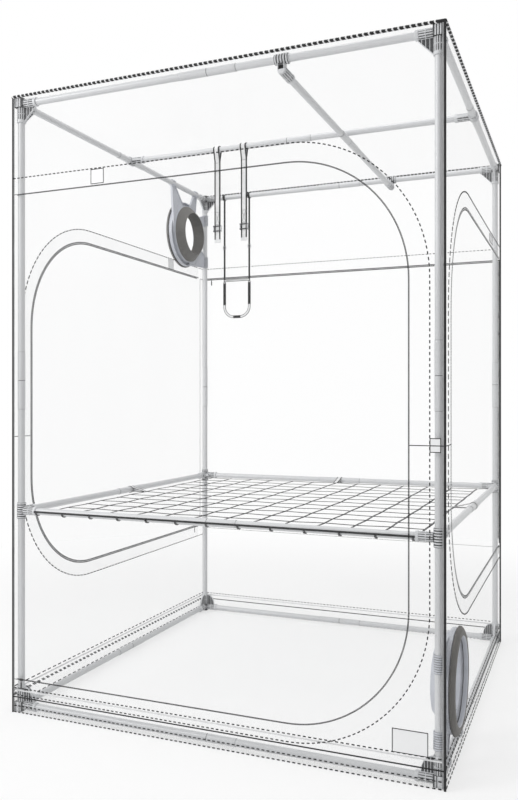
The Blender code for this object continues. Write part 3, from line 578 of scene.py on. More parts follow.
def corner_stock(side_out, level_out, arched):
    """A connector at the origin, with its sockets along the positive axes."""
    stock = Stock()
    skin = HUB_RIB_DEPTH
    # The hub's core, sunk between its ribs, takes the second finish: painted shade.
    stock.take(*slab((skin - side_out, skin - side_out, skin - level_out), (HUB_HALF,) * 3), 1)
    for spot in HUB_RIB_PLACES:
        low = spot - HUB_RIB_HALF
        high = spot + HUB_RIB_HALF
        stock.take(*slab((-side_out, low, skin - level_out), (0, high, HUB_HALF)))
        stock.take(*slab((low, -side_out, skin - level_out), (high, 0, HUB_HALF)))
        stock.take(*slab((low, skin - side_out, -level_out), (high, HUB_HALF, 0)))
    for axis in "XYZ":
        add_socket(stock, axis, SOCKET_REACH)
    add_web(stock, facing_front, (0, 1, 0), arched)
    add_web(stock, facing_side, (1, 0, 0), arched)
    return stock


def set_in_place(name, stock, signs, centre, finishes, body, stands_for):
    """A copy of stock made at the origin, mirrored by its signs and moved to a centre."""
    copy = Stock()
    points = [tuple(signs[k] * point[k] + centre[k] for k in range(3)) for point in stock.points]
    copy.take(points, stock.faces)
    copy.finishes = list(stock.finishes)
    return made_piece(name, copy, finishes, body, stands_for)


def soften(piece):
    """Round a moulded piece's sharp edges a little, so that they catch the light."""
    bevel = piece.modifiers.new("soft_edge", "BEVEL")
    bevel.width = SOFT_EDGE
    bevel.segments = 1
    bevel.limit_method = "ANGLE"
    bevel.angle_limit = BEVEL_FROM


def connector(node, stock, signs, place, body):
    """A moulded connector in place of its node."""
    finishes = [plastic, dark_bars_and_recess_shade]
    soften(set_in_place(node + "_ribbed", stock, signs, place, finishes, body, [node]))


CORNER_STOCKS = {
    "bottom": (corner_stock(HUB_OUT - TRAY_LAP, HUB_OUT, True), LOW_Z, -1),
    "top": (corner_stock(HUB_OUT, HUB_OUT, False), TOP_Z, 1),
}
SIGNED = (
    ("front_left", -1, -1),
    ("front_right", 1, -1),
    ("back_left", -1, 1),
    ("back_right", 1, 1),
)
for level, (stock, z, up) in CORNER_STOCKS.items():
    for corner, sx, sy in SIGNED:
        place = (sx * POST_X, sy * POST_X, z)
        connector("corner_" + level + "_" + corner, stock, (-sx, -sy, -up), place, "tent")

# Roof bar tees: moulded in the same plastic. A ribbed ring slides on the side pole and has a socket for
# the bar. The level bar's socket is braced by arched webs, and the hung bar's sits below on a short neck.
TEE_RING_RADIUS = 0.0160
TEE_RING_HALF = 0.021
TEE_RING_BORE = 0.0123
TEE_RING_CORE = 0.0148
TEE_REACH = 0.062
HUNG_REACH = 0.070
HUNG_DROP = 0.0305
HUNG_X = 0.235
TEE_NECK_HALF = 0.009
BAND_RIBS = 5
BAND_RIB_SHARE = 0.5
BAND_STATIONS = 4
BAND_GROOVE = 1


def banded_ring(bore, core, rib, half, bands):
    """A barrel with raised bands round it, as an outline turned about Z."""
    pitch = 2 * half / bands
    thick = pitch * BAND_RIB_SHARE
    outline = [(bore, -half), (core, -half)]
    for number in range(bands):
        start = (pitch - thick) / 2 + number * pitch - half
        end = start + thick
        outline += [(core, start), (rib, start + SOFT_EDGE), (rib, end - SOFT_EDGE), (core, end)]
    return turned(outline + [(core, half), (bore, half)])


def tee_arch(height, base):
    """A quarter arch from the socket's mouth up to the ring."""
    span = TEE_REACH - COLLAR_LENGTH / 2 - TEE_RING_CORE
    return arc((TEE_RING_CORE, base), (span, height), 0, pi / 2, ARCH_STEPS)


def add_banded(stock, axis, place, bore, core, rib, half, bands):
    """A banded barrel laid along an axis, with its grooves in the stock's second finish, a darker grey that
    paints shade into them.
    """
    points, faces = banded_ring(bore, core, rib, half, bands)
    first = len(stock.faces)
    stock.take(laid(points, axis, place), faces)
    for number in range(len(faces)):
        if number // POLE_SIDES % BAND_STATIONS == BAND_GROOVE:
            stock.finishes[first + number] = 1


def level_tee_stock():
    """The level bar's tee at the origin: its ring runs along Y and its socket along X."""
    stock = Stock()
    ring = (TEE_RING_BORE, TEE_RING_CORE, TEE_RING_RADIUS, TEE_RING_HALF, BAND_RIBS)
    add_banded(stock, "Y", (0, 0, 0), *ring)
    add_socket(stock, "X", TEE_REACH, start=TEE_RING_BORE)
    rise = TEE_RING_HALF - WEB_EDGE_THICK - SOCKET_CORE
    for way in (-1, 1):
        arch = [(u, way * v) for u, v in tee_arch(rise, SOCKET_CORE)]
        # The arch's plate, sunk below its rim, takes the second finish: painted shade.
        stock.take(*plate([(TEE_RING_CORE, 0)] + arch, WEB_EDGE_HALF, lambda u, v, w: (u, v, w)), 1)
        rim = [(u, v, 0) for u, v in arch]
        stock.take(*ribbon(rim, (0, 0, 1), 2 * WEB_EDGE_HALF + WEB_EDGE_THICK, WEB_EDGE_THICK))
    return stock


def hung_tee_stock():
    """The hung bar's tee at the origin: its ring runs along X, its socket along Y and below."""
    stock = Stock()
    ring = (SOCKET_BORE, TEE_RING_CORE, TEE_RING_RADIUS, TEE_RING_HALF, BAND_RIBS)
    add_banded(stock, "X", (0, 0, 0), *ring)
    neck = TEE_NECK_HALF
    # The neck's core, between its ribs, takes the second finish: painted shade.
    stock.take(*slab((-neck, -neck, -HUNG_DROP), (neck, neck, -SOCKET_BORE)), 1)
    for spot in (-neck, neck):
        stock.take(*slab((spot - WEB_RIB_HALF, -neck - WEB_RIB_DEPTH, -HUNG_DROP),
                         (spot + WEB_RIB_HALF, neck + WEB_RIB_DEPTH, -SOCKET_BORE)))
    end = round_ring(0.0, SOCKET_CORE, -neck, 0.0, COLLAR_EDGE)
    stock.take(laid(end[0], "Y", (0, 0, -HUNG_DROP)), end[1])
    add_socket(stock, "Y", HUNG_REACH, (0, 0, -HUNG_DROP), 0.0)
    return stock


level_tee = level_tee_stock()
for side, sx in (("left", -1), ("right", 1)):
    connector("level_bar_tee_" + side, level_tee, (-sx, 1, 1), (sx * POST_X, 0, TOP_Z), "level_bar")
hung_tee = hung_tee_stock()
for side, sy in (("front", -1), ("back", 1)):
    connector("hung_bar_tee_" + side, hung_tee, (1, -sy, 1), (HUNG_X, sy * POST_X, TOP_Z), "hung_bar")

# Net clips: moulded barrels that grip the posts and slide on them, with two sockets for the net's poles.
# A foot between the sockets holds a peg with a round head, which the eye of the net hooks over.
NET_Z = 0.654
CLIP_HALF = 0.026
CLIP_RADIUS = 0.0150
CLIP_CORE = 0.0138
CLIP_REACH = 0.062
CLIP_BANDS = 7
NET_BELOW = 0.0075
PEG_OUT = 0.024
PEG_RADIUS = 0.003
PEG_HEAD = 0.005
PEG_HEAD_THICK = 0.002
PEG_FOOT_LOW = -0.0057
PEG_FOOT_THICK = 0.011
PEG_SIDES = 20


def net_clip_stock():
    """A clip at the origin: its barrel stands upright and its sockets lie along X and Y."""
    stock = Stock()
    add_banded(stock, "Z", (0, 0, 0), SOCKET_BORE, CLIP_CORE, CLIP_RADIUS, CLIP_HALF, CLIP_BANDS)
    for axis in "XY":
        add_socket(stock, axis, CLIP_REACH, start=CLIP_CORE)
    out = PEG_OUT + PEG_HEAD
    arm = CLIP_CORE / 2
    stock.take(*slab((arm, arm, PEG_FOOT_LOW), (out, out, PEG_FOOT_LOW + PEG_FOOT_THICK)))
    head = -NET_BELOW - PEG_HEAD_THICK
    foot = head - PEG_HEAD_THICK
    outline = [(0, foot), (PEG_HEAD - SOFT_EDGE, foot), (PEG_HEAD, head - PEG_HEAD_THICK / 2),
               (PEG_HEAD, head), (PEG_RADIUS, head), (PEG_RADIUS, 0), (0, 0)]
    points, faces = turned(outline, PEG_SIDES)
    stock.take(laid(points, "Z", (PEG_OUT, PEG_OUT, 0)), faces)
    return stock


net_clip = net_clip_stock()
for corner, sx, sy in SIGNED:
    connector("net_clip_" + corner, net_clip, (-sx, -sy, 1), (sx * POST_X, sy * POST_X, NET_Z), "net_frame")

# Plant net: flat white webbing with black edges, woven over and under and sewn where the straps cross.
# Thirteen straps run under the front pole to a hem on its outer side. Ties hold it at the middle of the
# other three poles, and an eye at each corner hooks on the clip's peg.
NET_HALF = 0.609
NET_CELLS = 12
NET_PITCH = 2 * NET_HALF / NET_CELLS
NET_STRAP = 0.006
NET_EDGE = 0.0027
NET_THICK = 0.0010
NET_EDGE_THICK = 0.0014
NET_LAYERS = (NET_THICK, NET_EDGE, NET_EDGE_THICK)
NET_WEAVE = 0.0008
NET_SAG = 0.0035
NET_SPAN_STEPS = 4
HEM_RADIUS = 0.0133
HEM_OUT = 0.0138
HEM_HEIGHT = 0.0055
HEM_THICK = 0.0014
HEM_SHARES = (-1, -0.5, 0, 0.5, 1)
TIE_HALF = 0.010
TIE_RADIUS = 0.0130
EYE_RADIUS = 0.008
EYE_HOLE = 0.0034
EYE_THICK = 0.0024
EYE_BAND = 0.009
EYE_SIDES = 28
EYE_BAND_SHARES = (0, 0.4, 0.8)
WRAP_STEPS = 18
WEBBING_WHITE = (0.90, 0.905, 0.91)
WEBBING_BLACK = (0.012, 0.012, 0.013)
WHITE_SHADE = 0.86
BLACK_SHADE = 0.6
WEAVE_SCALE = 520.0
WEAVE_DEPTH = 0.0003
WEAVE_DRIFT = 34.0
WEAVE_WANDER = 0.6
WEAVE_BUMP = 0.5
WEAVE_ROUGH = 0.85
WEAVE_SHEEN = 0.15


def woven(name, colour, shade, depth):
    """Cloth with a crossed weave, a soft nap and a slow drift of tone."""
    made, tree, shader = shader_nodes(name)
    place = surface_place(tree)
    drifting_tone(tree, shader, place, colour, shade, WEAVE_DRIFT)
    threads = []
    for direction in "XYZ":
        wave = tree.nodes.new("ShaderNodeTexWave")
        wave.bands_direction = direction
        wave.inputs["Scale"].default_value = WEAVE_SCALE
        wave.inputs["Distortion"].default_value = WEAVE_WANDER
        tree.links.new(place, wave.inputs["Vector"])
        threads.append(wave.outputs["Fac"])
    add_bump(tree, shader, reckoned(tree, "MULTIPLY_ADD", *threads), WEAVE_BUMP, depth)
    shader.inputs["Roughness"].default_value = WEAVE_ROUGH
    shader.inputs["Sheen Weight"].default_value = WEAVE_SHEEN
    return made


white_webbing = woven("white_webbing", WEBBING_WHITE, WHITE_SHADE, WEAVE_DEPTH)
black_webbing = woven("black_webbing", WEBBING_BLACK, BLACK_SHADE, WEAVE_DEPTH)


def add_webbing(stock, path, side, width, thick, edge, edge_thick):
    """A strap along a path: a pale middle and a dark thread along each edge."""
    stock.take(*ribbon(path, side, width - edge, thick), 0)
    for way in (-1, 1):
        move = Vector(side) * (way * (width - edge) / 2)
        line = [Vector(spot) + move for spot in path]
        stock.take(*ribbon(line, side, edge, edge_thick), 1)


def net_sag(x, y):
    """How far the net hangs down at a place, most at its middle."""
    return NET_SAG * (1 - (x / NET_HALF) ** 2) * (1 - (y / NET_HALF) ** 2)


def net_line(number, crosswise):
    """The wavy path of one strap of the net."""
    fixed = number * NET_PITCH - NET_HALF
    path = []
    for step in range(NET_CELLS * NET_SPAN_STEPS + 1):
        run = step / NET_SPAN_STEPS
        along = run * NET_PITCH - NET_HALF
        lift = NET_WEAVE * cos(pi * run) * (-1) ** number
        x, y = (along, fixed) if crosswise else (fixed, along)
        height = NET_Z - NET_BELOW - net_sag(x, y) + (lift if crosswise else -lift)
        path.append((x, y, height))
    return path


def wrap_path(closed):
    """Side view of a tab from the net's edge round a pole, as distance inward and height."""
    radius = TIE_RADIUS if closed else HEM_RADIUS
    lean = asin(NET_BELOW / radius)
    last = lean - 2 * pi if closed else -pi
    edge = POST_X - NET_HALF
    path = [(edge, -NET_BELOW)] + arc((0, 0), (radius, radius), -lean, last, WRAP_STEPS)
    if closed:
        path.append((edge, NET_EDGE_THICK - NET_BELOW))
    return path


def add_net_edges(stock):
    """The straps' turns round the front pole, the hem that they end in, and the three ties."""
    for number in range(NET_CELLS + 1):
        x = number * NET_PITCH - NET_HALF
        path = [(x, inward - POST_X, NET_Z + height) for inward, height in wrap_path(False)]
        add_webbing(stock, path, (1, 0, 0), NET_STRAP, *NET_LAYERS)
    end = NET_HALF + NET_STRAP
    front = -POST_X - HEM_OUT
    hem = [(end * share, front, NET_Z) for share in HEM_SHARES]
    add_webbing(stock, hem, (0, 0, 1), HEM_HEIGHT, HEM_THICK, NET_EDGE, HEM_THICK + NET_EDGE / 2)
    for way in (-1, 1):
        path = [(way * (POST_X - inward), 0, NET_Z + height) for inward, height in wrap_path(True)]
        add_webbing(stock, path, (0, 1, 0), 2 * TIE_HALF, *NET_LAYERS)
    path = [(0, POST_X - inward, NET_Z + height) for inward, height in wrap_path(True)]
    add_webbing(stock, path, (1, 0, 0), 2 * TIE_HALF, *NET_LAYERS)


def add_net_corners(stock):
    """The eye that each corner hooks on its peg, and the short band that holds it."""
    level = NET_Z - NET_BELOW
    half = EYE_THICK / 2
    outline = [(EYE_HOLE, -half), (EYE_RADIUS, -half), (EYE_RADIUS, half), (EYE_HOLE, half)]
    eye_points, eye_faces = turned(outline, EYE_SIDES)
    for sx in (-1, 1):
        for sy in (-1, 1):
            peg = Vector((sx * (POST_X - PEG_OUT), sy * (POST_X - PEG_OUT), level))
            stock.take([Vector(point) + peg for point in eye_points], eye_faces, 1)
            corner = Vector((sx * NET_HALF, sy * NET_HALF, level))
            path = [corner.lerp(peg, share) for share in EYE_BAND_SHARES]
            add_webbing(stock, path, (sx, -sy, 0), EYE_BAND, *NET_LAYERS)


def plant_net():
    """The whole net in place of its node."""
    stock = Stock()
    for number in range(NET_CELLS + 1):
        add_webbing(stock, net_line(number, True), (0, 1, 0), NET_STRAP, *NET_LAYERS)
        add_webbing(stock, net_line(number, False), (1, 0, 0), NET_STRAP, *NET_LAYERS)
    add_net_edges(stock)
    add_net_corners(stock)
    made_piece("net_webbing", stock, [white_webbing, black_webbing], "net_frame", ["net"])


plant_net()

# Walls and roof: clear coated film, cut and sewn to the tent's shape, with a door opening in each side.
# A flap of the same film is sewn outside each opening and covers its zip. The film bows in a little
# between the poles and puckers along its seams.
HALF = 0.695
HEIGHT = 2.0
LINED = 0.6932
FILM_OUT = -0.0002
FILM_THICK = 0.0006
FILM_GRID = 0.035
FILM_CLEAR = 0.012
BOW = 0.003
PUCKER = 0.0007
PUCKER_START = 0.02
PUCKER_REACH = 0.05
PUCKER_PITCH = 0.083
FRONT_TOP = 1.680
FRONT_BASE = 0.1095
FRONT_EDGE = 0.5994
FRONT_CORNER = 0.345
FLAP_TOP = 1.7335
FLAP_BASE = 0.0585
FLAP_EDGE = 0.6547
FLAP_CORNER = 0.400
SIDE_TOP = 1.598
SIDE_BASE = 0.414
SIDE_FREE = -0.600
SIDE_HUNG = 0.6436
SIDE_CORNER = 0.340
SIDE_FLAP = 0.050
SIDE_FLAP_CORNER = 0.390
BACK_WELT = 0.687
FLANGE_PLACES = {"left": (0.490, 1.778), "right": (-0.490, 0.222)}
DUCT_HOLE = 0.123
HOLE_STEPS = 48
FLANGE_CALM = 0.15
ROUND_STEPS = 26
FLAP_OUT = 0.0016
FILM_TONE = (0.93, 0.945, 0.955)
FILM_HAZE = 0.014
FILM_SHINE = 0.08
FILM_SHADE = 0.9
FILM_DRIFT = 3.0
FILM_STRETCH = (1.0, 1.0, 0.35)
FILM_SLANT = 0.25
FILM_ROUGH = 0.16
STREAK_FAINT = 0.6
STREAK_STRONG = 1.4
RIPPLE_SCALE = 14.0
RIPPLE_BUMP = 0.25
RIPPLE_DEPTH = 0.004
SAME_PLACE = 0.000001


def clear_film():
    """Clear film: nearly all of it lets light through, with faint streaks and a shine at a slant."""
    made, tree, shader = shader_nodes("clear_film")
    place = surface_place(tree, FILM_STRETCH)
    pattern = drifting_tone(tree, shader, place, FILM_TONE, FILM_SHADE, FILM_DRIFT)
    slant = tree.nodes.new("ShaderNodeLayerWeight")
    slant.inputs["Blend"].default_value = FILM_SLANT
    haze = ranged(tree, slant.outputs["Fresnel"], FILM_HAZE, FILM_SHINE)
    streaks = ranged(tree, pattern, STREAK_FAINT, STREAK_STRONG)
    tree.links.new(reckoned(tree, "MULTIPLY", haze, streaks), shader.inputs["Alpha"])
    add_bump(tree, shader, speckle(tree, place, RIPPLE_SCALE, SKIN_DETAIL), RIPPLE_BUMP, RIPPLE_DEPTH)
    shader.inputs["Roughness"].default_value = FILM_ROUGH
    return made


film = clear_film()


def eased(share):
    """A share that starts and ends gently, held between nought and one."""
    share = min(max(share, 0.0), 1.0)
    return share * share * (3 - 2 * share)


def bow(side, u, v):
    """How far a wall bows and puckers inward at a place on it."""
    high = 2 * HALF if side == "roof" else HEIGHT
    start = -HALF if side == "roof" else 0.0
    across = max(sin(pi * (u + HALF) / (2 * HALF)), 0.0)
    up = max(sin(pi * (v - start) / high), 0.0)
    edge = min(HALF - abs(u), v - start, start + high - v)
    ripple = 1 + sin(2 * pi * (u + v) / PUCKER_PITCH)
    depth = BOW * across * up
    depth += PUCKER * eased(edge / PUCKER_START) * eased(1 - edge / PUCKER_REACH) * ripple
    flange = FLANGE_PLACES.get(side)
    if flange:
        away = sqrt((u - flange[0]) ** 2 + (v - flange[1]) ** 2)
        depth *= eased((away - FLANGE_CALM) / FLANGE_CALM)
    return depth


def on_wall(side, u, v, out=0.0):
    """The point at a place on a wall, a distance outside the tent's line."""
    out = HALF + out - bow(side, u, v)
    if side == "roof":
        return Vector((u, v, HEIGHT - HALF + out))
    places = {"front": (u, -out, v), "back": (u, out, v), "left": (-out, u, v), "right": (out, u, v)}
    return Vector(places[side])


def rectangle(low_u, low_v, high_u, high_v):
    return [(low_u, low_v), (high_u, low_v), (high_u, high_v), (low_u, high_v)]


def edges_of(loop):
    """Each point of a closed outline with the next one."""
    return zip(loop, loop[1:] + loop[:1])


def d_line(hung, free, low, high, corner):
    """The open line of a D from its lower end, round the free side, to its upper end."""
    way = 1 if free > hung else -1
    radii = (way * corner, corner)
    centre = free - way * corner
    lower = arc((centre, low + corner), radii, -pi / 2, 0, ROUND_STEPS)
    upper = arc((centre, high - corner), radii, 0, pi / 2, ROUND_STEPS)
    return [(hung, low)] + lower + upper + [(hung, high)]


def spaced(line, gap):
    """The same line with points no further apart than the gap."""
    found = [line[0]]
    for this, after in zip(line, line[1:]):
        length = sqrt((after[0] - this[0]) ** 2 + (after[1] - this[1]) ** 2)
        pieces = max(int(length / gap), 1)
        for step in range(1, pieces + 1):
            share = step / pieces
            found.append((this[0] + (after[0] - this[0]) * share, this[1] + (after[1] - this[1]) * share))
    return found


def loop_points(loop):
    return spaced(loop + [loop[0]], FILM_GRID)[:-1]


def inside(u, v, loops):
    """Whether a place is within the outline and outside its holes."""
    hits = False
    for loop in loops:
        for this, after in edges_of(loop):
            if (this[1] > v) != (after[1] > v):
                if u < this[0] + (after[0] - this[0]) * (v - this[1]) / (after[1] - this[1]):
                    hits = not hits
    return hits


def grid_places(loops):
    """Places on an even grid within an outline, clear of its lines."""
    us = [u for loop in loops for u, v in loop]
    vs = [v for loop in loops for u, v in loop]
    found = []
    for column in range(1, int((max(us) - min(us)) / FILM_GRID)):
        for row in range(1, int((max(vs) - min(vs)) / FILM_GRID)):
            u = min(us) + column * FILM_GRID
            v = min(vs) + row * FILM_GRID
            around = ((0, 0), (FILM_CLEAR, 0), (-FILM_CLEAR, 0), (0, FILM_CLEAR), (0, -FILM_CLEAR))
            if all(inside(u + du, v + dv, loops) for du, dv in around):
                found.append((u, v))
    return found


def sheet_faces(loops):
    """Points and triangles that fill an outline and leave its holes open."""
    fine = [loop_points(loop) for loop in loops]
    places = [place for loop in fine for place in loop]
    edges = []
    start = 0
    for loop in fine:
        edges += [(start + number, start + (number + 1) % len(loop)) for number in range(len(loop))]
        start += len(loop)
    places += grid_places(fine)
    found = delaunay_2d_cdt([Vector(place) for place in places], edges, [], 0, SAME_PLACE)
    points = [tuple(point) for point in found[0]]
    kept = []
    for face in found[2]:
        u = sum(points[corner][0] for corner in face) / 3
        v = sum(points[corner][1] for corner in face) / 3
        if inside(u, v, fine):
            kept.append(tuple(face))
    return points, kept


def add_film(stock, side, loops, out=FILM_OUT):
    """A sheet of film on a wall, as thick as the real one."""
    places, triangles = sheet_faces(loops)
    count = len(places)
    points = [on_wall(side, u, v, out) for u, v in places]
    points += [on_wall(side, u, v, out - FILM_THICK) for u, v in places]
    uses = {}
    for face in triangles:
        for this, after in edges_of(face):
            uses.setdefault(frozenset((this, after)), []).append((this, after))
    faces = list(triangles) + [tuple(count + corner for corner in face[::-1]) for face in triangles]
    for found in uses.values():
        if len(found) == 1:
            this, after = found[0]
            faces.append((after, this, count + this, count + after))
    stock.take(points, faces)


def strip_loop(inner, outer):
    """The outline of the strip between two lines that run the same way."""
    return inner + outer[::-1]


front_zip = d_line(-HALF, FRONT_EDGE, FRONT_BASE, FRONT_TOP, FRONT_CORNER)
front_flap = d_line(-HALF, FLAP_EDGE, FLAP_BASE, FLAP_TOP, FLAP_CORNER)
side_zip = d_line(SIDE_HUNG, SIDE_FREE, SIDE_BASE, SIDE_TOP, SIDE_CORNER)
side_flap = d_line(SIDE_HUNG, SIDE_FREE - SIDE_FLAP, SIDE_BASE - SIDE_FLAP, SIDE_TOP + SIDE_FLAP,
                   SIDE_FLAP_CORNER)


def outline_area(loop):
    return abs(sum(this[0] * after[1] - after[0] * this[1] for this, after in edges_of(loop))) / 2


def hung_film(node, side, loops, body, flap=None):
    """One sheet of film in place of its node, with its flap. The area that it was cut to is worked out but
    not used.
    """
    stock = Stock()
    add_film(stock, side, loops)
    area = outline_area(loops[0]) - sum(outline_area(loop) for loop in loops[1:])
    if flap:
        add_film(stock, side, [flap], FLAP_OUT)
        area += outline_area(flap)
    piece = made_piece(node + "_film", stock, [film], body, [node])


WALL = rectangle(-HALF, 0, HALF, HEIGHT)
SIDE_WALL = rectangle(-LINED, 0, LINED, HEIGHT)
BACK_OPENING = rectangle(-BACK_WELT, SIDE_BASE, BACK_WELT, SIDE_TOP)
BACK_FLAP = rectangle(-HALF, SIDE_TOP, HALF, SIDE_TOP + SIDE_FLAP)
hung_film("front_wall", "front", [WALL + front_zip[::-1]], "tent", strip_loop(front_zip, front_flap))
for side, flange in FLANGE_PLACES.items():
    cut = [SIDE_WALL, side_zip, circle(flange, DUCT_HOLE, HOLE_STEPS)]
    hung_film(side + "_wall", side, cut, "tent", strip_loop(side_zip, side_flap))
hung_film("back_wall", "back", [WALL, BACK_OPENING], "tent", BACK_FLAP)
hung_film("roof", "roof", [rectangle(-HALF, -HALF, HALF, HALF)], "tent")

# Doors and back panel: the same clear film, sewn down one side and zipped round the rest.
# Each door turns on its sewn edge, and the back panel folds down on its lower seam.
PANEL_GAP = 0.0012


def panel_line(line):
    """A door's line drawn in from the opening's line by a small gap."""
    middle_u = (min(u for u, v in line) + max(u for u, v in line)) / 2
    middle_v = (min(v for u, v in line) + max(v for u, v in line)) / 2
    half_u = max(u for u, v in line) - middle_u
    half_v = max(v for u, v in line) - middle_v
    narrow = 1 - PANEL_GAP / half_u
    low = 1 - PANEL_GAP / half_v
    return [(middle_u + (u - middle_u) * narrow, middle_v + (v - middle_v) * low) for u, v in line]


for side, node, line in (
    ("front", "front_door", front_zip),
    ("left", "left_door", side_zip),
    ("right", "right_door", side_zip),
    ("back", "back_panel", BACK_OPENING),
):
    hung_film(node, side, [panel_line(line)], node)

# Floor tray: a shallow tray of the same film that lies inside the walls and catches spills.
# Its wall stands up against the film outside, and a pale tape is folded over its top.
TRAY_HALF = 0.6926
TRAY_HEIGHT = 0.0725
TRAY_FILM = 0.0008
TRAY_LEAN = 0.0008
TRAY_STEPS = 24
TRAY_WELD = 0.00001
TRAY_TAPE = 0.0040
TRAY_TAPE_THICK = 0.0014


def tray_levels():
    """Section of the tray's wall as height and distance out: up the outside and down the inside."""
    inner = TRAY_HALF - TRAY_FILM
    outside = [(0.0, TRAY_HALF), (TRAY_HEIGHT / 2, TRAY_HALF - TRAY_LEAN), (TRAY_HEIGHT, TRAY_HALF)]
    return outside + [(TRAY_HEIGHT, inner), (TRAY_HEIGHT / 2, inner - TRAY_LEAN), (TRAY_FILM, inner)]


def grid_faces(rows, columns):
    """Faces of a grid whose points run row by row."""
    wide = columns + 1
    return [(row * wide + step, row * wide + step + 1, (row + 1) * wide + step + 1, (row + 1) * wide + step)
            for row in range(rows) for step in range(columns)]


def floor_tray():
    """The tray in place of its node: its floor as two layers of a grid and its wall all round."""
    stock = Stock()
    shares = [2 * step / TRAY_STEPS - 1 for step in range(TRAY_STEPS + 1)]
    for half, height in ((TRAY_HALF, 0.0), (TRAY_HALF - TRAY_FILM, TRAY_FILM)):
        points = [(half * across, half * along, height) for along in shares for across in shares]
        stock.take(points, grid_faces(TRAY_STEPS, TRAY_STEPS))
    levels = tray_levels()
    for side in range(4):
        points = []
        for height, out in levels:
            for share in shares:
                run = out * share
                spot = ((run, -out), (out, run), (-run, out), (-out, -run))[side]
                points.append((*spot, height))
        stock.take(points, grid_faces(len(levels) - 1, TRAY_STEPS))
    piece = made_piece("floor_tray_film", stock, [film], "tent", ["floor_tray"])
    bm = bmesh.new()
    bm.from_mesh(piece.data)
    bmesh.ops.remove_doubles(bm, verts=bm.verts, dist=TRAY_WELD)
    bmesh.ops.recalc_face_normals(bm, faces=bm.faces)
    bm.to_mesh(piece.data)
    bm.free()


def tray_binding():
    """Pale tape folded over the top of the tray's wall."""
    stock = Stock()
    half = TRAY_HALF - TRAY_FILM / 2
    for (x, y), (after_x, after_y) in edges_of(rectangle(-half, -half, half, half)):
        path = [(x, y, TRAY_HEIGHT), (after_x, after_y, TRAY_HEIGHT)]
        stock.take(*ribbon(path, (0, 0, 1), TRAY_TAPE, TRAY_TAPE_THICK))
    made_piece("floor_tray_binding", stock, [white_webbing], "tent")


tray_binding()
floor_tray()

# Zips: pale moulded teeth on black tape, sewn along the edge of each opening. One row of teeth is on the
# tent's side and the other on the door's, and the two meet on the line. The front door's zip is finer and
# its teeth are black.
TAPE_NEAR = 0.0004
TAPE_FAR = 0.0049
FRONT_TAPE_FAR = 0.0020
TAPE_THICK = 0.0004
TOOTH_PITCH = 0.0080
TOOTH_HALF = 0.0015
TOOTH_FROM = 0.0001
TOOTH_TO = 0.0024
FRONT_TOOTH_TO = 0.0006
TOOTH_BACK = -0.0001
TOOTH_THICK = 0.0011
BLACK_TEETH = 0
PALE_TEETH = 1
FINE_ZIP = (FRONT_TAPE_FAR, FRONT_TOOTH_TO, BLACK_TEETH)
BROAD_ZIP = (TAPE_FAR, TOOTH_TO, PALE_TEETH)
HINGE_CLEAR = 0.0180
BAND_STEP = 0.035
TEETH_COLOUR = (0.74, 0.745, 0.75)
TEETH_SKIN = (0.9, 0.4, 900.0, 0.00005, 60.0)

zip_teeth = painted("zip_teeth", TEETH_COLOUR, TEETH_SKIN)


def square_to(line):
    """The way to a line's right at each point, longer at a corner so that a band keeps its width."""
    spots = [Vector(spot) for spot in line]
    ways = [(after - spot).normalized() for spot, after in zip(spots, spots[1:])]
    found = []
    for number in range(len(spots)):
        leave = ways[min(number, len(ways) - 1)]
        along = (ways[max(number - 1, 0)] + leave).normalized()
        right = Vector((along.y, -along.x))
        found.append(right / right.dot(Vector((leave.y, -leave.x))))
    return found


def walked(line, pitch, start=0.0):
    """Places at an even pitch along a line, each with its direction."""
    found = []
    left = start
    for this, after in zip(line, line[1:]):
        this = Vector(this)
        length = (Vector(after) - this).length
        way = (Vector(after) - this) / length
        while left < length:
            found.append((this + way * left, way))
            left += pitch
        left -= length
    return found


def add_band(stock, side, line, near, far, out, thick, finish=0):
    """A flat band on a wall, between two distances to the right of a line."""
    line = spaced(line, BAND_STEP)
    points = []
    for spot, right in zip(line, square_to(line)):
        for across, depth in ((near, out), (far, out), (far, out + thick), (near, out + thick)):
            place = Vector(spot) + right * across
            points.append(on_wall(side, place.x, place.y, depth))
    stock.take(points, band_faces(len(line)), finish)


def add_chip(stock, side, spot, way, near, far, half, out, thick, finish=0, slant=0.0):
    """A small block on a wall, square to a line or slanted along it."""
    right = Vector((way.y, -way.x))
    points = []
    for along in (-half, half):
        for across, shift in ((near, -slant), (far, slant)):
            place = spot + way * (along + shift) + right * across
            for depth in (out, out + thick):
                points.append(on_wall(side, place.x, place.y, depth))
    stock.take(points, SLAB_FACES, finish)


def cut_back(line):
    """The same line with a short length off each end, so that a door that turns clears its wall."""
    first, second = Vector(line[0]), Vector(line[1])
    late, last = Vector(line[-2]), Vector(line[-1])
    start = first + (second - first).normalized() * HINGE_CLEAR
    end = last + (late - last).normalized() * HINGE_CLEAR
    return [tuple(start)] + list(line[1:-1]) + [tuple(end)]


def zip_half(name, side, line, hand, kind, body):
    """One tape of a zip with its row of teeth. The hand is 1 for the tape to the line's right."""
    tape, tooth, teeth = kind
    stock = Stock()
    add_band(stock, side, line, hand * TAPE_NEAR, hand * tape, 0.0, TAPE_THICK)
    near = hand * TOOTH_FROM
    far = hand * tooth
    for spot, way in walked(line, TOOTH_PITCH):
        add_chip(stock, side, spot, way, near, far, TOOTH_HALF, TOOTH_BACK, TOOTH_THICK, teeth)
    made_piece(name, stock, [black_webbing, zip_teeth], body, smooth=False)


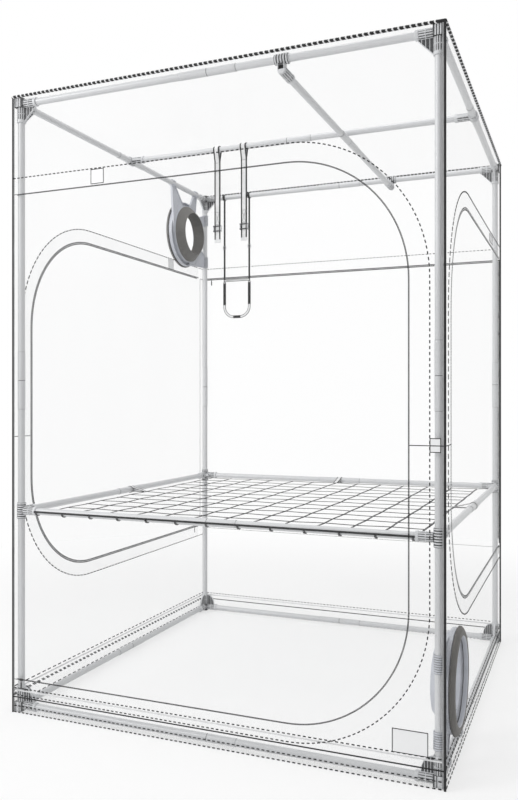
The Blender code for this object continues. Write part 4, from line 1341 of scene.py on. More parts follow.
back_zip = [(-BACK_WELT, SIDE_BASE), (-BACK_WELT, SIDE_TOP), (BACK_WELT, SIDE_TOP), (BACK_WELT, SIDE_BASE)]
for side, line, hand, kind, body in (
    ("front", front_zip, 1, FINE_ZIP, "front_door"),
    ("left", side_zip, -1, BROAD_ZIP, "left_door"),
    ("right", side_zip, -1, BROAD_ZIP, "right_door"),
    ("back", back_zip, -1, BROAD_ZIP, "back_panel"),
):
    zip_half(side + "_zip_outer", side, line, hand, kind, "tent")
    zip_half(side + "_zip_inner", side, cut_back(line), -hand, kind, body)

# Seams and bindings: narrow black tape sewn over the hem of the front and back walls. Rows of heavy black
# thread hold the edge of each flap and the foot of the walls, and slanted turns whip the side walls' hem.
SEAM_HALF = 0.0012
SEAM_THICK = 0.0006
HEM_TOP = {"front": 0.0515, "left": 0.0555, "right": 0.0555, "back": 0.0540}
HEM_PROUD = 0.0016
HEM_EDGE = 0.0017
FOOT_TOP = 0.0030
ROWS = (0.0810, 0.0227)
FINE_STITCH = (0.0008, 0.0045, 0.0070)
BOLD_STITCH = (0.0015, 0.0085, 0.0155)
LONG_STITCH = (0.0018, 0.0135, 0.0210)
LEVEL_STITCH = (0.0018, 0.0160, 0.0290)
WHIP_STITCH = (0.0042, 0.0130, 0.0240)
WHIP_SLANT = 0.0050
THREAD_PROUD = 0.0016
CORNER_SEAM = 0.895
EDGE_CLEAR = 0.004


def seam_line(stock, side, line, half=SEAM_HALF, thick=SEAM_THICK, out=0.0):
    """A narrow black tape, centred on a line."""
    add_band(stock, side, line, -half, half, out, thick)


def thread_row(stock, side, line, stitch, slant=0.0):
    """Stitches of black thread, evenly spaced along a line."""
    half, length, pitch = stitch
    for spot, way in walked(line, pitch, pitch / 2):
        add_chip(stock, side, spot, way, -half, half, length / 2, 0.0, THREAD_PROUD, slant=slant)


def level_line(height, start=EDGE_CLEAR - HALF, end=HALF - EDGE_CLEAR):
    """A level line on a wall, from edge to edge where no ends are given."""
    return [(start, height), (end, height)]


def wall_bindings(side):
    """The binding, seams and stitches at the foot of one wall."""
    stock = Stock()
    hem = level_line(HEM_TOP[side])
    stitch = BOLD_STITCH
    if side in ("left", "right"):
        stitch = LEVEL_STITCH
        thread_row(stock, side, hem, WHIP_STITCH, WHIP_SLANT)
    else:
        seam_line(stock, side, hem, HEM_EDGE, HEM_PROUD)
    for height in (FOOT_TOP,) + ROWS:
        thread_row(stock, side, level_line(height), stitch)
    return stock


def front_seams(stock, side):
    """The stitches round the front door's flap and the seam from it to the tent's corner."""
    thread_row(stock, side, front_flap, BOLD_STITCH)
    seam_line(stock, side, level_line(CORNER_SEAM, FRONT_EDGE + FRONT_TAPE_FAR), out=FLAP_OUT)


def side_seams(stock, side):
    """The stitches round a side door's flap and hinge, and the seams from them to the tent's corners."""
    thread_row(stock, side, side_flap, LONG_STITCH)
    for height in (SIDE_BASE - SIDE_FLAP, SIDE_TOP + SIDE_FLAP):
        seam_line(stock, side, level_line(height, SIDE_HUNG))
    behind = SIDE_HUNG + HINGE_CLEAR
    for height in (SIDE_BASE, SIDE_TOP):
        seam_line(stock, side, level_line(height, behind))
    thread_row(stock, side, [(behind, SIDE_BASE), (behind, SIDE_TOP)], FINE_STITCH)
    seam_line(stock, side, level_line(CORNER_SEAM, EDGE_CLEAR - HALF, SIDE_FREE - TAPE_FAR), out=FLAP_OUT)


def back_seams(stock, side):
    """The stitches along the back panel's flap and below the seam that it folds on."""
    thread_row(stock, side, level_line(SIDE_TOP + SIDE_FLAP), BOLD_STITCH)
    thread_row(stock, side, level_line(SIDE_BASE - HINGE_CLEAR, -BACK_WELT, BACK_WELT), FINE_STITCH)


for side, add_seams in (
    ("front", front_seams),
    ("left", side_seams),
    ("right", side_seams),
    ("back", back_seams),
):
    stock = wall_bindings(side)
    add_seams(stock, side)
    made_piece(side + "_bindings", stock, [black_webbing], "tent", smooth=False)

# Piping: round black cord sewn into the tent's upright edges, with a grey strip beside it at the front:
# painted shade.
# The cord round the roof is thicker and whipped with pale thread.
PIPING_RADIUS = 0.0032
PIPING_IN = 0.0011
PIPING_SIDES = 12
FRONT_RIGHT_PIPING = 0.0034
ROOF_CORD = 0.0043
ROOF_CORD_Z = 1.9988
WHIP_PITCHES = {"X": 0.0160, "Y": 0.0240}
WHIP_RADIUS = 0.0048
WHIP_WIDTH = 0.0044
WHIP_THICK = 0.0009
WHIP_STEPS = 12
# Grey for a strip beside each front cord: painted shade along the wall's corner.
CORNER_SHADE_GREY = (0.36, 0.365, 0.37)
CORNER_STRIP_SHADE = 0.8
CORNER_STRIP_DEPTH = 0.0002
CORNER_STRIP_IN = 0.0062
CORNER_STRIP_HALF = 0.0016

corner_shade_strip = woven("corner_shade_strip", CORNER_SHADE_GREY, CORNER_STRIP_SHADE, CORNER_STRIP_DEPTH)


def add_rod(stock, axis, place, radius, low, high, finish=0):
    """A plain round bar or cord along an axis."""
    points, faces = turned([(radius, low), (radius, high)], PIPING_SIDES, False)
    stock.take(laid(points, axis, place), faces, finish)


def add_whips(stock, axis, place):
    """Turns of pale thread laid aslant round the roof's cord."""
    pitch = WHIP_PITCHES[axis]
    for number in range(int(2 * HALF / pitch)):
        middle = (number + 0.5) * pitch - HALF
        ring = [(x, y, middle + x) for x, y in circle((0, 0), WHIP_RADIUS, WHIP_STEPS)]
        points = laid(ring, axis, place)
        side = laid([(0, 0, 1)], axis)[0]
        stock.take(*ribbon(points, side, WHIP_WIDTH * pitch / WHIP_PITCHES["X"], WHIP_THICK, True), 1)


def edge_piping():
    """The four upright cords and the two grey strips of painted shade at the front."""
    stock = Stock()
    for sx in (-1, 1):
        for sy in (-1, 1):
            thick = FRONT_RIGHT_PIPING if (sx, sy) == (1, -1) else PIPING_RADIUS
            place = (sx * (HALF - PIPING_IN), sy * (HALF - PIPING_IN), 0)
            add_rod(stock, "Z", place, thick, 0.0, ROOF_CORD_Z)
    # A grey strip beside each front cord: painted shade along the corner.
    for sx in (-1, 1):
        line = [(sx * (HALF - CORNER_STRIP_IN), EDGE_CLEAR), (sx * (HALF - CORNER_STRIP_IN), HEIGHT - EDGE_CLEAR)]
        add_band(stock, "front", line, -CORNER_STRIP_HALF, CORNER_STRIP_HALF, 0.0, SEAM_THICK, 1)
    made_piece("edge_piping", stock, [black_webbing, corner_shade_strip], "tent")


def roof_piping():
    """The thicker cord along the roof's four edges, with its turns of thread."""
    stock = Stock()
    for sign in (-1, 1):
        for axis, place in (("X", (0, sign * HALF, ROOF_CORD_Z)), ("Y", (sign * HALF, 0, ROOF_CORD_Z))):
            add_rod(stock, axis, place, ROOF_CORD, -HALF, HALF)
            add_whips(stock, axis, place)
    made_piece("roof_piping", stock, [black_webbing, white_webbing], "tent")


edge_piping()
roof_piping()

# Patches: small bare pieces of white vinyl on the walls, sewn down with black thread round their edges.
# Three are on the front and one is on each side.
PATCHES = (
    ("front", (-0.393, 1.685, -0.346, 1.731)),
    ("front", (0.555, 0.081, 0.651, 0.145)),
    ("front", (0.6545, 0.877, 0.684, 0.915)),
    ("left", (0.352, 1.602, 0.398, 1.645)),
    ("right", (0.286, 1.607, 0.386, 1.637)),
)
PATCH_OUT = 0.0017
PATCH_THICK = 0.0004
PATCH_EDGE = 0.0021
PATCH_WHITE = (0.92, 0.925, 0.93)
PATCH_SKIN = (0.96, 0.5, 500.0, 0.00006, 12.0)

patch_vinyl = painted("patch_vinyl", PATCH_WHITE, PATCH_SKIN)


def patches():
    stock = Stock()
    for side, (low_u, low_v, high_u, high_v) in PATCHES:
        middle = (low_v + high_v) / 2
        half = (high_v - low_v) / 2
        add_band(stock, side, [(low_u, middle), (high_u, middle)], -half, half, PATCH_OUT, PATCH_THICK)
        for this, after in edges_of(rectangle(low_u, low_v, high_u, high_v)):
            add_band(stock, side, [this, after], -PATCH_EDGE, 0.0, PATCH_OUT, PATCH_THICK * 2, 1)
    made_piece("bare_patches", stock, [patch_vinyl, black_webbing], "tent", smooth=False)


patches()

# Zip sliders: small enamelled zinc castings, one on each zip, with a flat pull that hangs from a loop.
# Each sits near one end of its zip, so that the door or panel is shut.
SLIDER_PLATE = ((-0.0070, 0.0026), (-0.0045, 0.0039), (0.0005, 0.0033), (0.0060, 0.0030), (0.0070, 0.0022))
SLIDER_WALL_LOW = 0.0003
SLIDER_PLATE_LOW = 0.0016
SLIDER_PLATE_HIGH = 0.0027
SLIDER_WALL = 0.0010
SLIDER_LOOP = ((-0.0042, 0.0026), (-0.0028, 0.0040), (0.0020, 0.0041), (0.0036, 0.0026))
SLIDER_LOOP_WIDTH = 0.0018
SLIDER_LOOP_THICK = 0.0008
PULL_EYE = 0.0025
PULL_HOLE = 0.0013
PULL_LOW = 0.0018
PULL_HIGH = 0.0030
PULL_HALF = 0.0025
PULL_WAIST = 0.0014
PULL_START = 0.0020
PULL_NECK = 0.0075
PULL_END = 0.0300
PULL_GRIPS = (0.016, 0.019, 0.022, 0.025)
PULL_GRIP_HALF = 0.0006
PULL_GRIP_PROUD = 0.0003
PULL_STEPS = 8
SLIDER_BLACK = (0.022, 0.022, 0.024)
SLIDER_SKIN = (0.7, 0.28, 300.0, 0.00004, 90.0)
SLIDER_COAT = 0.6
SLIDER_IN = 0.036
SLIDERS = (
    ("front", "front_door", (SLIDER_IN - HALF, FRONT_BASE)),
    ("left", "left_door", (SIDE_HUNG - SLIDER_IN, SIDE_BASE)),
    ("right", "right_door", (SIDE_HUNG - SLIDER_IN, SIDE_BASE)),
    ("back", "back_panel", (SLIDER_IN - BACK_WELT, SIDE_TOP)),
)
OUTWARD = {"front": (0, -1, 0), "back": (0, 1, 0), "left": (-1, 0, 0), "right": (1, 0, 0)}

enamel = painted("black_enamel", SLIDER_BLACK, SLIDER_SKIN, SLIDER_COAT)


def pull_outline():
    """Front view of the pull below its eye, round at the end."""
    low = PULL_HALF - PULL_END
    shoulder = -PULL_NECK - PULL_HALF
    right = [(PULL_WAIST, -PULL_START), (PULL_WAIST, -PULL_NECK), (PULL_HALF, shoulder)]
    end = arc((0, low), (PULL_HALF, PULL_HALF), 0, -pi, PULL_STEPS)
    return right + end + [(-u, v) for u, v in right[::-1]]


def raised(lay, rise):
    """The same lay, moved outward."""
    return lambda u, v, w: lay(u, v, rise + w)


def add_pull(stock, lay):
    """The pull: a flat bar with grips across it and an eye at its top."""
    thick = (PULL_HIGH - PULL_LOW) / 2
    middle = PULL_LOW + thick
    stock.take(*plate(pull_outline(), thick, raised(lay, middle)))
    for grip in PULL_GRIPS:
        corners = rectangle(-PULL_WAIST, -grip - PULL_GRIP_HALF, PULL_WAIST, -grip + PULL_GRIP_HALF)
        stock.take(*plate(corners, thick + PULL_GRIP_PROUD, raised(lay, middle)))
    eye, faces = round_ring(PULL_HOLE, PULL_EYE, -thick, thick, PULL_GRIP_PROUD)
    stock.take([lay(x, y, middle + z) for x, y, z in eye], faces)


def slider_stock(lay):
    """A slider with its pull. The lay turns distances along, up and out into a place."""
    stock = Stock()
    outline = list(SLIDER_PLATE) + [(along, -up) for along, up in SLIDER_PLATE[::-1]]
    rise = (SLIDER_PLATE_HIGH - SLIDER_PLATE_LOW) / 2
    stock.take(*plate(outline, rise, raised(lay, SLIDER_PLATE_LOW + rise)))
    half = (SLIDER_PLATE_LOW - SLIDER_WALL_LOW) / 2
    for way in (-1, 1):
        wall = [(along, way * (up - SLIDER_WALL)) for along, up in SLIDER_PLATE]
        wall += [(along, way * up) for along, up in SLIDER_PLATE[::-1]]
        stock.take(*plate(wall, half, raised(lay, SLIDER_WALL_LOW + half)))
    up = lay(0, 1, 0) - lay(0, 0, 0)
    loop = [lay(along, 0, out) for along, out in SLIDER_LOOP]
    stock.take(*ribbon(loop, up, SLIDER_LOOP_WIDTH, SLIDER_LOOP_THICK))
    add_pull(stock, lay)
    return stock


def slider_lay(side, place):
    """How a slider's own distances lie on its wall."""
    base = on_wall(side, *place, 0.0)
    out = Vector(OUTWARD[side])
    along = Vector((abs(out.y), abs(out.x), 0))
    return lambda u, v, w: base + along * u + Vector((0, 0, v)) + out * w


for side, panel, place in SLIDERS:
    node = "slider_" + panel
    stock = slider_stock(slider_lay(side, place))
    made_piece(node + "_cast", stock, [enamel], side + "_slider", [node])

# Hanging straps: flat white webbing with black edges, looped over the level bar and sewn to itself.
# Each ends in a free tail, and a moulded ladder-lock buckle slides on it.
STRAP_PLACES = (("left", -0.288), ("right", -0.1765))
STRAP_WIDTH = 0.025
STRAP_LAYER = 0.0012
STRAP_EDGE = 0.0054
STRAP_EDGE_LAYER = 0.0013
STRAP_LAYERS = (STRAP_LAYER, STRAP_EDGE, STRAP_EDGE_LAYER)
STRAP_LOOP = 0.0130
STRAP_APART = 0.0007
STRAP_NECK = 0.045
STRAP_SEWN = 0.242
STRAP_SEWN_END = 0.288
STRAP_TAIL = 0.358
STRAP_HEM = 0.012
STRAP_HEM_LAYER = 0.0026
STRAP_STEPS = 20
SEW_HALF = 0.0085
SEW_WIDTH = 0.0009
SEW_STITCH = 0.0032
SEW_PITCH = 0.0046
SEW_OUT = 0.0015
BUCKLE_TOP = 0.292
BUCKLE_HIGH = 0.025
RAIL_IN = 0.0131
RAIL_OUT = 0.0164
RAIL_DEEP = 0.0046
BAR_RADIUS = 0.0022
BAR_OUT = 0.0043
BAR_DROPS = ((0.0030, -1), (0.0125, 1), (0.0215, -1))


def sewn_row(stock, start, end, side):
    """Stitches of black thread between two places on a strap."""
    start = Vector(start)
    way = Vector(end) - start
    length = way.length
    way = way / length
    for number in range(int(length / SEW_PITCH) + 1):
        spot = start + way * (number * SEW_PITCH)
        stock.take(*ribbon([spot, spot + way * SEW_STITCH], side, SEW_WIDTH, SEW_WIDTH), 1)


def strap_path():
    """Side view of the strap: up the back, over the bar and down the front."""
    lean = asin(STRAP_LOOP / STRAP_NECK)
    over = arc((0, 0), (STRAP_LOOP, STRAP_LOOP), -lean, pi + lean, STRAP_STEPS)
    back = [(STRAP_APART, -STRAP_SEWN_END), (STRAP_APART, -STRAP_NECK)]
    return back + over + [(-STRAP_APART, -STRAP_NECK), (-STRAP_APART, -STRAP_SEWN_END)]


def sewn_box(stock, x):
    """The box of stitches with a cross in it and the row at the neck, on both faces of a strap."""
    across = (1, 0, 0)
    upright = (0, 0, 1)
    left = x - SEW_HALF
    right = x + SEW_HALF
    top = TOP_Z - STRAP_SEWN
    low = TOP_Z - STRAP_SEWN_END
    neck = TOP_Z - STRAP_NECK - STRAP_EDGE
    rows = (
        ((left, top), (right, top), upright), ((left, low), (right, low), upright),
        ((left, top), (left, low), across), ((right, top), (right, low), across),
        ((left, top), (right, low), across), ((right, top), (left, low), across),
        ((left, neck), (right, neck), upright),
    )
    for y in (-SEW_OUT, SEW_OUT):
        for (start_x, start_z), (end_x, end_z), way in rows:
            sewn_row(stock, (start_x, y, start_z), (end_x, y, end_z), way)


def strap_webbing(side, x):
    """One strap in place of its node: the loop, the free tail with its hem, and the stitches."""
    stock = Stock()
    across = (1, 0, 0)
    path = [(x, y, TOP_Z + z) for y, z in strap_path()]
    tail = [(x, 0, TOP_Z - STRAP_SEWN_END), (x, 0, TOP_Z - STRAP_TAIL)]
    hem = [(x, 0, TOP_Z - STRAP_TAIL + STRAP_HEM), (x, 0, TOP_Z - STRAP_TAIL)]
    add_webbing(stock, path, across, STRAP_WIDTH, *STRAP_LAYERS)
    add_webbing(stock, tail, across, STRAP_WIDTH, *STRAP_LAYERS)
    stock.take(*ribbon(hem, across, STRAP_WIDTH, STRAP_HEM_LAYER), 0)
    sewn_box(stock, x)
    node = "strap_" + side
    piece = made_piece(node + "_webbing", stock, [white_webbing, black_webbing], node, [node])


def ladder_lock(side, x):
    """The buckle: two rails and three round bars, which pass before and behind the strap in turn."""
    stock = Stock()
    top = TOP_Z - BUCKLE_TOP
    for way in (-1, 1):
        ends = sorted((x + way * RAIL_IN, x + way * RAIL_OUT))
        stock.take(*slab((ends[0], -RAIL_DEEP, top - BUCKLE_HIGH), (ends[1], RAIL_DEEP, top)))
    for drop, way in BAR_DROPS:
        add_rod(stock, "X", (0, way * BAR_OUT, top - drop), BAR_RADIUS, x - RAIL_OUT, x + RAIL_OUT, 1)
    name = "strap_" + side
    piece = made_piece(name + "_ladder_lock", stock, [plastic, dark_bars_and_recess_shade], "buckle_" + side,
                       [name + "_buckle"])
    soften(piece)


for side, x in STRAP_PLACES:
    strap_webbing(side, x)
    ladder_lock(side, x)

# Sling: narrow black webbing that hangs from the back top pole, with a moulded adjuster on each run.
# Its lower end is a loop of wider edged webbing in black sleeves, closed above by a cross strap.
SLING_X = -0.507
SLING_HALF = 0.064
SLING_BAND = 0.012
SLING_RUN_WIDTH = 0.0085
SLING_RUN_THICK = 0.0018
SLING_LAYER = 0.0014
SLING_EDGE = 0.0020
SLING_EDGE_PROUD = 0.000325
SLING_RING = 0.0129
SLING_RING_WIDTH = 0.0112
SLING_DROP = 0.570
SLING_BEND = 0.049
SLING_CROSS = 0.397
SLING_CROSS_BAND = 0.010
SLING_JOIN = 0.404
SLING_BEND_STEPS = 14
SLEEVE_WIDTH = 0.0128
SLEEVE_THICK = 0.0036
SLEEVE_ENDS = (0.409, 0.512)
SLEEVE_FOOT = 0.036
ADJUSTER_DROP = 0.2385
ADJUSTER_HALF = 0.0075
ADJUSTER_HIGH = 0.016
ADJUSTER_RAIL = 0.0022
ADJUSTER_DEEP = 0.0030
ADJUSTER_BARS = ((-0.0062, -1), (0.0, 1), (0.0062, -1))
ADJUSTER_BAR = 0.0012
ADJUSTER_BAR_OUT = 0.0022


def sling_loop():
    """The lower loop from one side's top, round the bottom, to the other side's top."""
    middle = SLING_BEND - SLING_DROP
    bend = SLING_HALF - SLING_BEND
    corner = arc((bend, middle), (SLING_BEND, SLING_BEND), 0, -pi / 2, SLING_BEND_STEPS)
    right = [(SLING_HALF, -SLING_JOIN)] + corner
    return right + [(-u, v) for u, v in right[::-1]]


def add_flat_loop(stock, line, width, thick, place, finish):
    """A band that lies flat in the upright plane along a line."""
    points = []
    for spot, right in zip(line, square_to(line)):
        for across, deep in BAND_CORNERS:
            at = Vector(spot) + right * (width / 2 * across)
            points.append((place[0] + at.x, place[1] + thick / 2 * deep, place[2] + at.y))
    stock.take(points, band_faces(len(line)), finish)


def edged_loop(stock, line, width, thick, place):
    """Pale webbing that lies flat along a line, with a dark thread along each edge."""
    add_flat_loop(stock, line, width - SLING_EDGE, thick, place, 0)
    for way in (-1, 1):
        rim = [tuple(Vector(spot) + right * (way * (width - SLING_EDGE) / 2))
               for spot, right in zip(line, square_to(line))]
        add_flat_loop(stock, rim, SLING_EDGE, thick + SLING_EDGE_PROUD, place, 1)


def sling_webbing():
    """The sling in place of its node: the edged loop and cross strap, and the two runs to the pole."""
    stock = Stock()
    place = (SLING_X, POST_X, TOP_Z)
    edged_loop(stock, sling_loop(), SLING_BAND, SLING_LAYER, place)
    cross = [(-SLING_HALF, -SLING_CROSS), (SLING_HALF, -SLING_CROSS)]
    edged_loop(stock, cross, SLING_CROSS_BAND, SLING_LAYER, (SLING_X, POST_X - SLING_LAYER, TOP_Z))
    for way in (-1, 1):
        run = [(way * SLING_HALF, -SLING_RING), (way * SLING_HALF, -SLING_JOIN)]
        add_flat_loop(stock, run, SLING_RUN_WIDTH, SLING_RUN_THICK, place, 1)
        x = SLING_X + way * SLING_HALF
        ring = [(x, y, z) for y, z in circle((POST_X, TOP_Z), SLING_RING, STRAP_STEPS)]
        stock.take(*ribbon(ring, (1, 0, 0), SLING_RING_WIDTH, SLING_RUN_THICK, True), 1)
    piece = made_piece("sling_webbing", stock, [white_webbing, black_webbing], "sling", ["sling"])


def sling_sleeves():
    """Black sleeves on the sling's loop."""
    stock = Stock()
    place = (SLING_X, POST_X, TOP_Z)
    for way in (-1, 1):
        line = [(way * SLING_HALF, -drop) for drop in SLEEVE_ENDS]
        add_flat_loop(stock, line, SLEEVE_WIDTH, SLEEVE_THICK, place, 0)
    foot = [(-SLEEVE_FOOT / 2, -SLING_DROP), (SLEEVE_FOOT / 2, -SLING_DROP)]
    add_flat_loop(stock, foot, SLEEVE_WIDTH, SLEEVE_THICK, place, 0)
    made_piece("sling_sleeves", stock, [black_webbing], "sling")


def sling_adjusters():
    """A moulded adjuster on each run: two rails and three bars."""
    stock = Stock()
    level = TOP_Z - ADJUSTER_DROP
    for way in (-1, 1):
        x = SLING_X + way * SLING_HALF
        for hand in (-1, 1):
            ends = sorted((x + hand * ADJUSTER_HALF, x + hand * (ADJUSTER_HALF - ADJUSTER_RAIL)))
            stock.take(*slab((ends[0], POST_X - ADJUSTER_DEEP, level - ADJUSTER_HIGH / 2),
                             (ends[1], POST_X + ADJUSTER_DEEP, level + ADJUSTER_HIGH / 2)))
        for rise, hand in ADJUSTER_BARS:
            add_rod(stock, "X", (0, POST_X + hand * ADJUSTER_BAR_OUT, level + rise), ADJUSTER_BAR,
                    x - ADJUSTER_HALF, x + ADJUSTER_HALF)
    soften(made_piece("sling_adjusters", stock, [plastic], "sling"))


sling_webbing()
sling_sleeves()
sling_adjusters()

# Duct flanges: a bracket moulded in light grey holds a duct's end in the wall. It grips the post with two
# ribbed barrels and hooks over the pole. A dark rubber ring seals it outside. The reducer inside is dark
# in the left wall and light grey in the right one. In the left wall its bore is darker still: painted
# shade.
AXIS_IN = 0.0185
FLANGE_WALL = 0.6935
FLANGE_TO_POST = 0.185
FLANGE_TO_POLE = 0.202
FLANGE_SIDES = 96
BRACKET_RIM = (
    (0.1215, 0.0012), (0.1440, 0.0012), (0.1450, 0.0022), (0.1450, 0.0155), (0.1440, 0.0165),
    (0.1410, 0.0165), (0.1403, 0.0155), (0.1400, 0.0075), (0.1392, 0.0068), (0.1290, 0.0068),
    (0.1282, 0.0075), (0.1280, 0.0242), (0.1270, 0.0252), (0.1225, 0.0252), (0.1215, 0.0242),
)
SPOKES = 40
SPOKE_ENDS = (0.1275, 0.1405)
SPOKE_HALF = 0.0008
SPOKE_LEVELS = (0.0060, 0.0140)
ARM_FOOT = 0.1250
ARM_BASE = 0.145
HOOK_ARM_SHARES = {-1: ((0.32, 0.85), (0.94, 0.25)), 1: ((0.15, 0.90), (0.52, 0.79))}
POST_ARM_SHARES = {-1: ((0.32, 0.85), (0.94, 0.25)), 1: ((0.42, 0.84), (0.67, 0.70))}
ARM_WEB_HALF = 0.0020
ARM_DEEP = 0.0100
ARM_RIB = 0.0032
ARM_CROSS_DEEP = 0.0074
ARM_CROSS_RIB = 0.0014
ARM_CROSS_SHARES = (0.18, 0.34, 0.50, 0.66, 0.82)
ARM_STEPS = 10
HOOK_PLACES = {-1: 0.1405, 1: 0.0785}
HOOK_HALF = 0.011
HOOK_BORE = 0.0113
HOOK_RADIUS = 0.0150
HOOK_OPEN = (radians(29), radians(39))
HOOK_STEPS = 28
BARREL_PLACE = 0.1005
BARREL_HALF = 0.025
BARREL_CORE = 0.0136
BARREL_BANDS = 8
RUBBER_RING = (
    (0.1215, -0.0018), (0.1500, -0.0018), (0.1500, -0.0048), (0.1493, -0.0070), (0.1468, -0.0096),
    (0.1424, -0.0124), (0.1418, -0.0119), (0.1412, -0.0130), (0.1370, -0.0148), (0.1320, -0.0155),
    (0.1262, -0.0155), (0.1236, -0.0144), (0.1220, -0.0124), (0.1215, -0.0095),
)
# The ring's inner lip and bore take the second finish, light grey: a painted highlight on the dark rubber.
RUBBER_RING_LIT_LIP_FINISHES = (0, 0, 0, 0, 0, 0, 0, 0, 0, 0, 0, 1, 1, 1)
REDUCER = (
    (0.1212, 0.0255), (0.1250, 0.0255), (0.1250, 0.0276), (0.1238, 0.0285), (0.0962, 0.0572),
    (0.0950, 0.0582), (0.0935, 0.0585), (0.0925, 0.0578), (0.0925, 0.0035), (0.1206, 0.0035),
    (0.1206, 0.0050), (0.0950, 0.0050), (0.0950, 0.0535),
)
REDUCER_FINISHES = (2, 0, 0, 0, 0, 0, 0, 1, 2, 2, 2, 2, 2)
BRACKET_GREY = (0.578, 0.597, 0.644)
BRACKET_SKIN = (0.90, 0.42, 360.0, 0.00012, 22.0)
# Darker grey in the grooves between the barrels' bands: painted shade.
GROOVE_SHADE_GREY = (0.300, 0.305, 0.315)
GROOVE_SHADE_SKIN = (0.90, 0.5, 360.0, 0.00012, 22.0)
RUBBER_DARK = (0.156, 0.150, 0.141)
RUBBER_SKIN = (0.82, 0.62, 300.0, 0.00018, 30.0)
# Darker rubber for the left reducer's bore: painted shade inside the duct.
RUBBER_BORE_SHADE = (0.060, 0.057, 0.052)
BORE_SHADE_SKIN = (0.82, 0.66, 300.0, 0.00018, 30.0)

bracket_grey = painted("bracket_grey", BRACKET_GREY, BRACKET_SKIN)
groove_shade_grey = painted("groove_shade_grey", GROOVE_SHADE_GREY, GROOVE_SHADE_SKIN)
rubber_dark = painted("rubber_dark", RUBBER_DARK, RUBBER_SKIN)
bore_shade_rubber = painted("bore_shade_rubber", RUBBER_BORE_SHADE, BORE_SHADE_SKIN)


def spun(x, y, turn):
    """A place turned about the origin."""
    return (x * cos(turn) - y * sin(turn), x * sin(turn) + y * cos(turn))


def foot_on_ring(tip, foot):
    """Where the edge of an arm, from its tip to its foot, meets the bracket's collar."""
    tip = Vector(tip)
    way = Vector(foot) - tip
    a = way.length_squared
    b = tip.dot(way)
    c = tip.length_squared - ARM_FOOT ** 2
    return tip + way * ((-b - sqrt(max(b * b - a * c, 0.0))) / a)


def arm_edges(side, shares, reach, middle, half):
    """The two long edges of an arm, each from the collar to the tip."""
    inner, outer = [(u * ARM_BASE, v * ARM_BASE) for u, v in shares[side]]
    edges = []
    for tip, foot in (((middle - half, reach), inner), ((middle + half, reach), outer)):
        edges.append([tuple(foot_on_ring(tip, foot)), tip])
    return [[(side * u, v) for u, v in edge] for edge in edges]


def add_arm(stock, side, shares, reach, middle, half, lay):
    """A tapered arm: a thin web with a deep rib along each edge and light ribs across."""
    inner, outer = arm_edges(side, shares, reach, middle, half)
    start = Vector(inner[0])
    angle = start.angle_signed(Vector(outer[0]))
    foot = [spun(start.x, start.y, turn) for turn in sweep(0, -angle, ARM_STEPS)[1:-1]]
    outline = [inner[1], inner[0]] + foot + [outer[0], outer[1]]
    stock.take(*plate(outline, ARM_WEB_HALF, lay))
    for edge in (inner, outer):
        stock.take(*ribbon([lay(u, v, 0) for u, v in edge], (1, 0, 0), ARM_DEEP, ARM_RIB))
    for share in ARM_CROSS_SHARES:
        ends = [Vector(edge[0]).lerp(Vector(edge[1]), share) for edge in (inner, outer)]
        path = [lay(spot.x, spot.y, 0) for spot in ends]
        stock.take(*ribbon(path, (1, 0, 0), ARM_CROSS_DEEP, ARM_CROSS_RIB))


def hook_outline():
    """End view of a hook, open towards the inside of the tent."""
    sides = []
    for radius, gap in zip((HOOK_RADIUS, HOOK_BORE), HOOK_OPEN):
        sides.append(arc((0, 0), (radius, radius), gap, 2 * pi - gap, HOOK_STEPS))
    return sides[0] + sides[1][::-1]


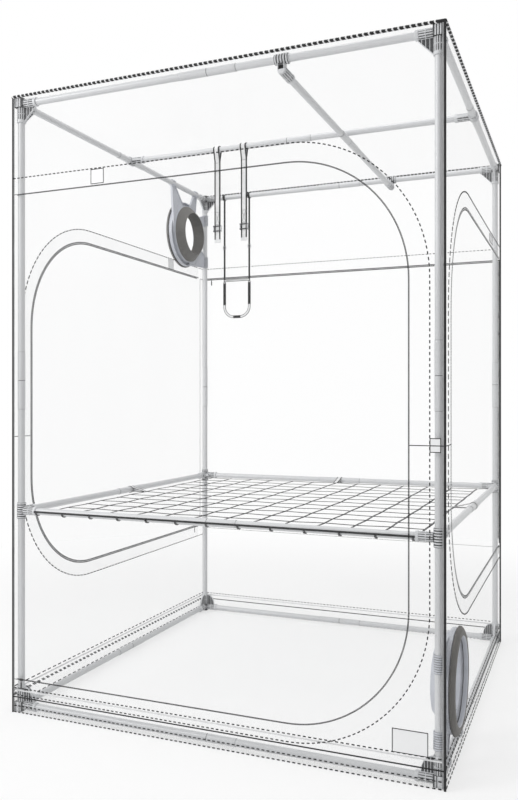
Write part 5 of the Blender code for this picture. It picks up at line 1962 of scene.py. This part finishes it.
def bracket_stock():
    """The bracket at the origin: the tent lies to +X, its post to +Y and its pole to +Z."""
    stock = Stock()
    points, faces = turned(BRACKET_RIM, FLANGE_SIDES)
    stock.take(laid(points, "X"), faces)
    low = (SPOKE_ENDS[0], -SPOKE_HALF, SPOKE_LEVELS[0])
    high = (SPOKE_ENDS[1], SPOKE_HALF, SPOKE_LEVELS[1])
    spoke, faces = slab(low, high)
    for number in range(SPOKES):
        turn = 2 * pi * number / SPOKES
        stock.take(laid([(*spun(x, y, turn), z) for x, y, z in spoke], "X"), faces)
    for side in (-1, 1):
        hook = HOOK_PLACES[side]
        add_arm(stock, side, HOOK_ARM_SHARES, FLANGE_TO_POLE, hook, HOOK_HALF,
                lambda u, v, w: (AXIS_IN + w, u, v))
        add_arm(stock, side, POST_ARM_SHARES, FLANGE_TO_POST, BARREL_PLACE, BARREL_HALF,
                lambda u, v, w: (AXIS_IN + w, v, u))
        stock.take(*plate(hook_outline(), HOOK_HALF,
                          lambda u, v, w: (AXIS_IN + u, side * hook + w, FLANGE_TO_POLE + v)))
        place = (AXIS_IN, FLANGE_TO_POST, side * BARREL_PLACE)
        add_banded(stock, "Z", place, HOOK_BORE, BARREL_CORE, HOOK_RADIUS, BARREL_HALF, BARREL_BANDS)
    return stock


def turned_in_wall(outline, finishes):
    """An outline turned about a line through the wall, with a finish for each of its stretches."""
    points, faces = turned(outline, FLANGE_SIDES)
    stock = Stock()
    stock.take(laid(points, "X"), faces)
    stock.finishes = [finishes[number // FLANGE_SIDES] for number in range(len(faces))]
    return stock


bracket = bracket_stock()
rubber_ring = turned_in_wall(RUBBER_RING, RUBBER_RING_LIT_LIP_FINISHES)
reducer = turned_in_wall(REDUCER, REDUCER_FINISHES)
for side, sx, cone, bore in (
    # In the left wall the bore's darker rubber is painted shade.
    ("left", -1, rubber_dark, bore_shade_rubber),
    ("right", 1, bracket_grey, bracket_grey),
):
    signs = (-sx, -sx, -sx)
    centre = (sx * FLANGE_WALL, *FLANGE_PLACES[side])
    for kind, ending, stock, finishes, slot in (
        ("flange_bracket_", "_moulded", bracket, [bracket_grey, groove_shade_grey], "bracket"),
        # For the rubber ring, bracket grey is the painted highlight on its inner lip and bore.
        ("duct_ring_", "_rubber", rubber_ring, [rubber_dark, bracket_grey], "duct"),
        ("duct_reducer_", "_cone", reducer, [cone, bore, bracket_grey], "duct"),
    ):
        node = kind + side
        piece = set_in_place(node + ending, stock, signs, centre, finishes, "tent", [node])
        if slot == "bracket":
            soften(piece)
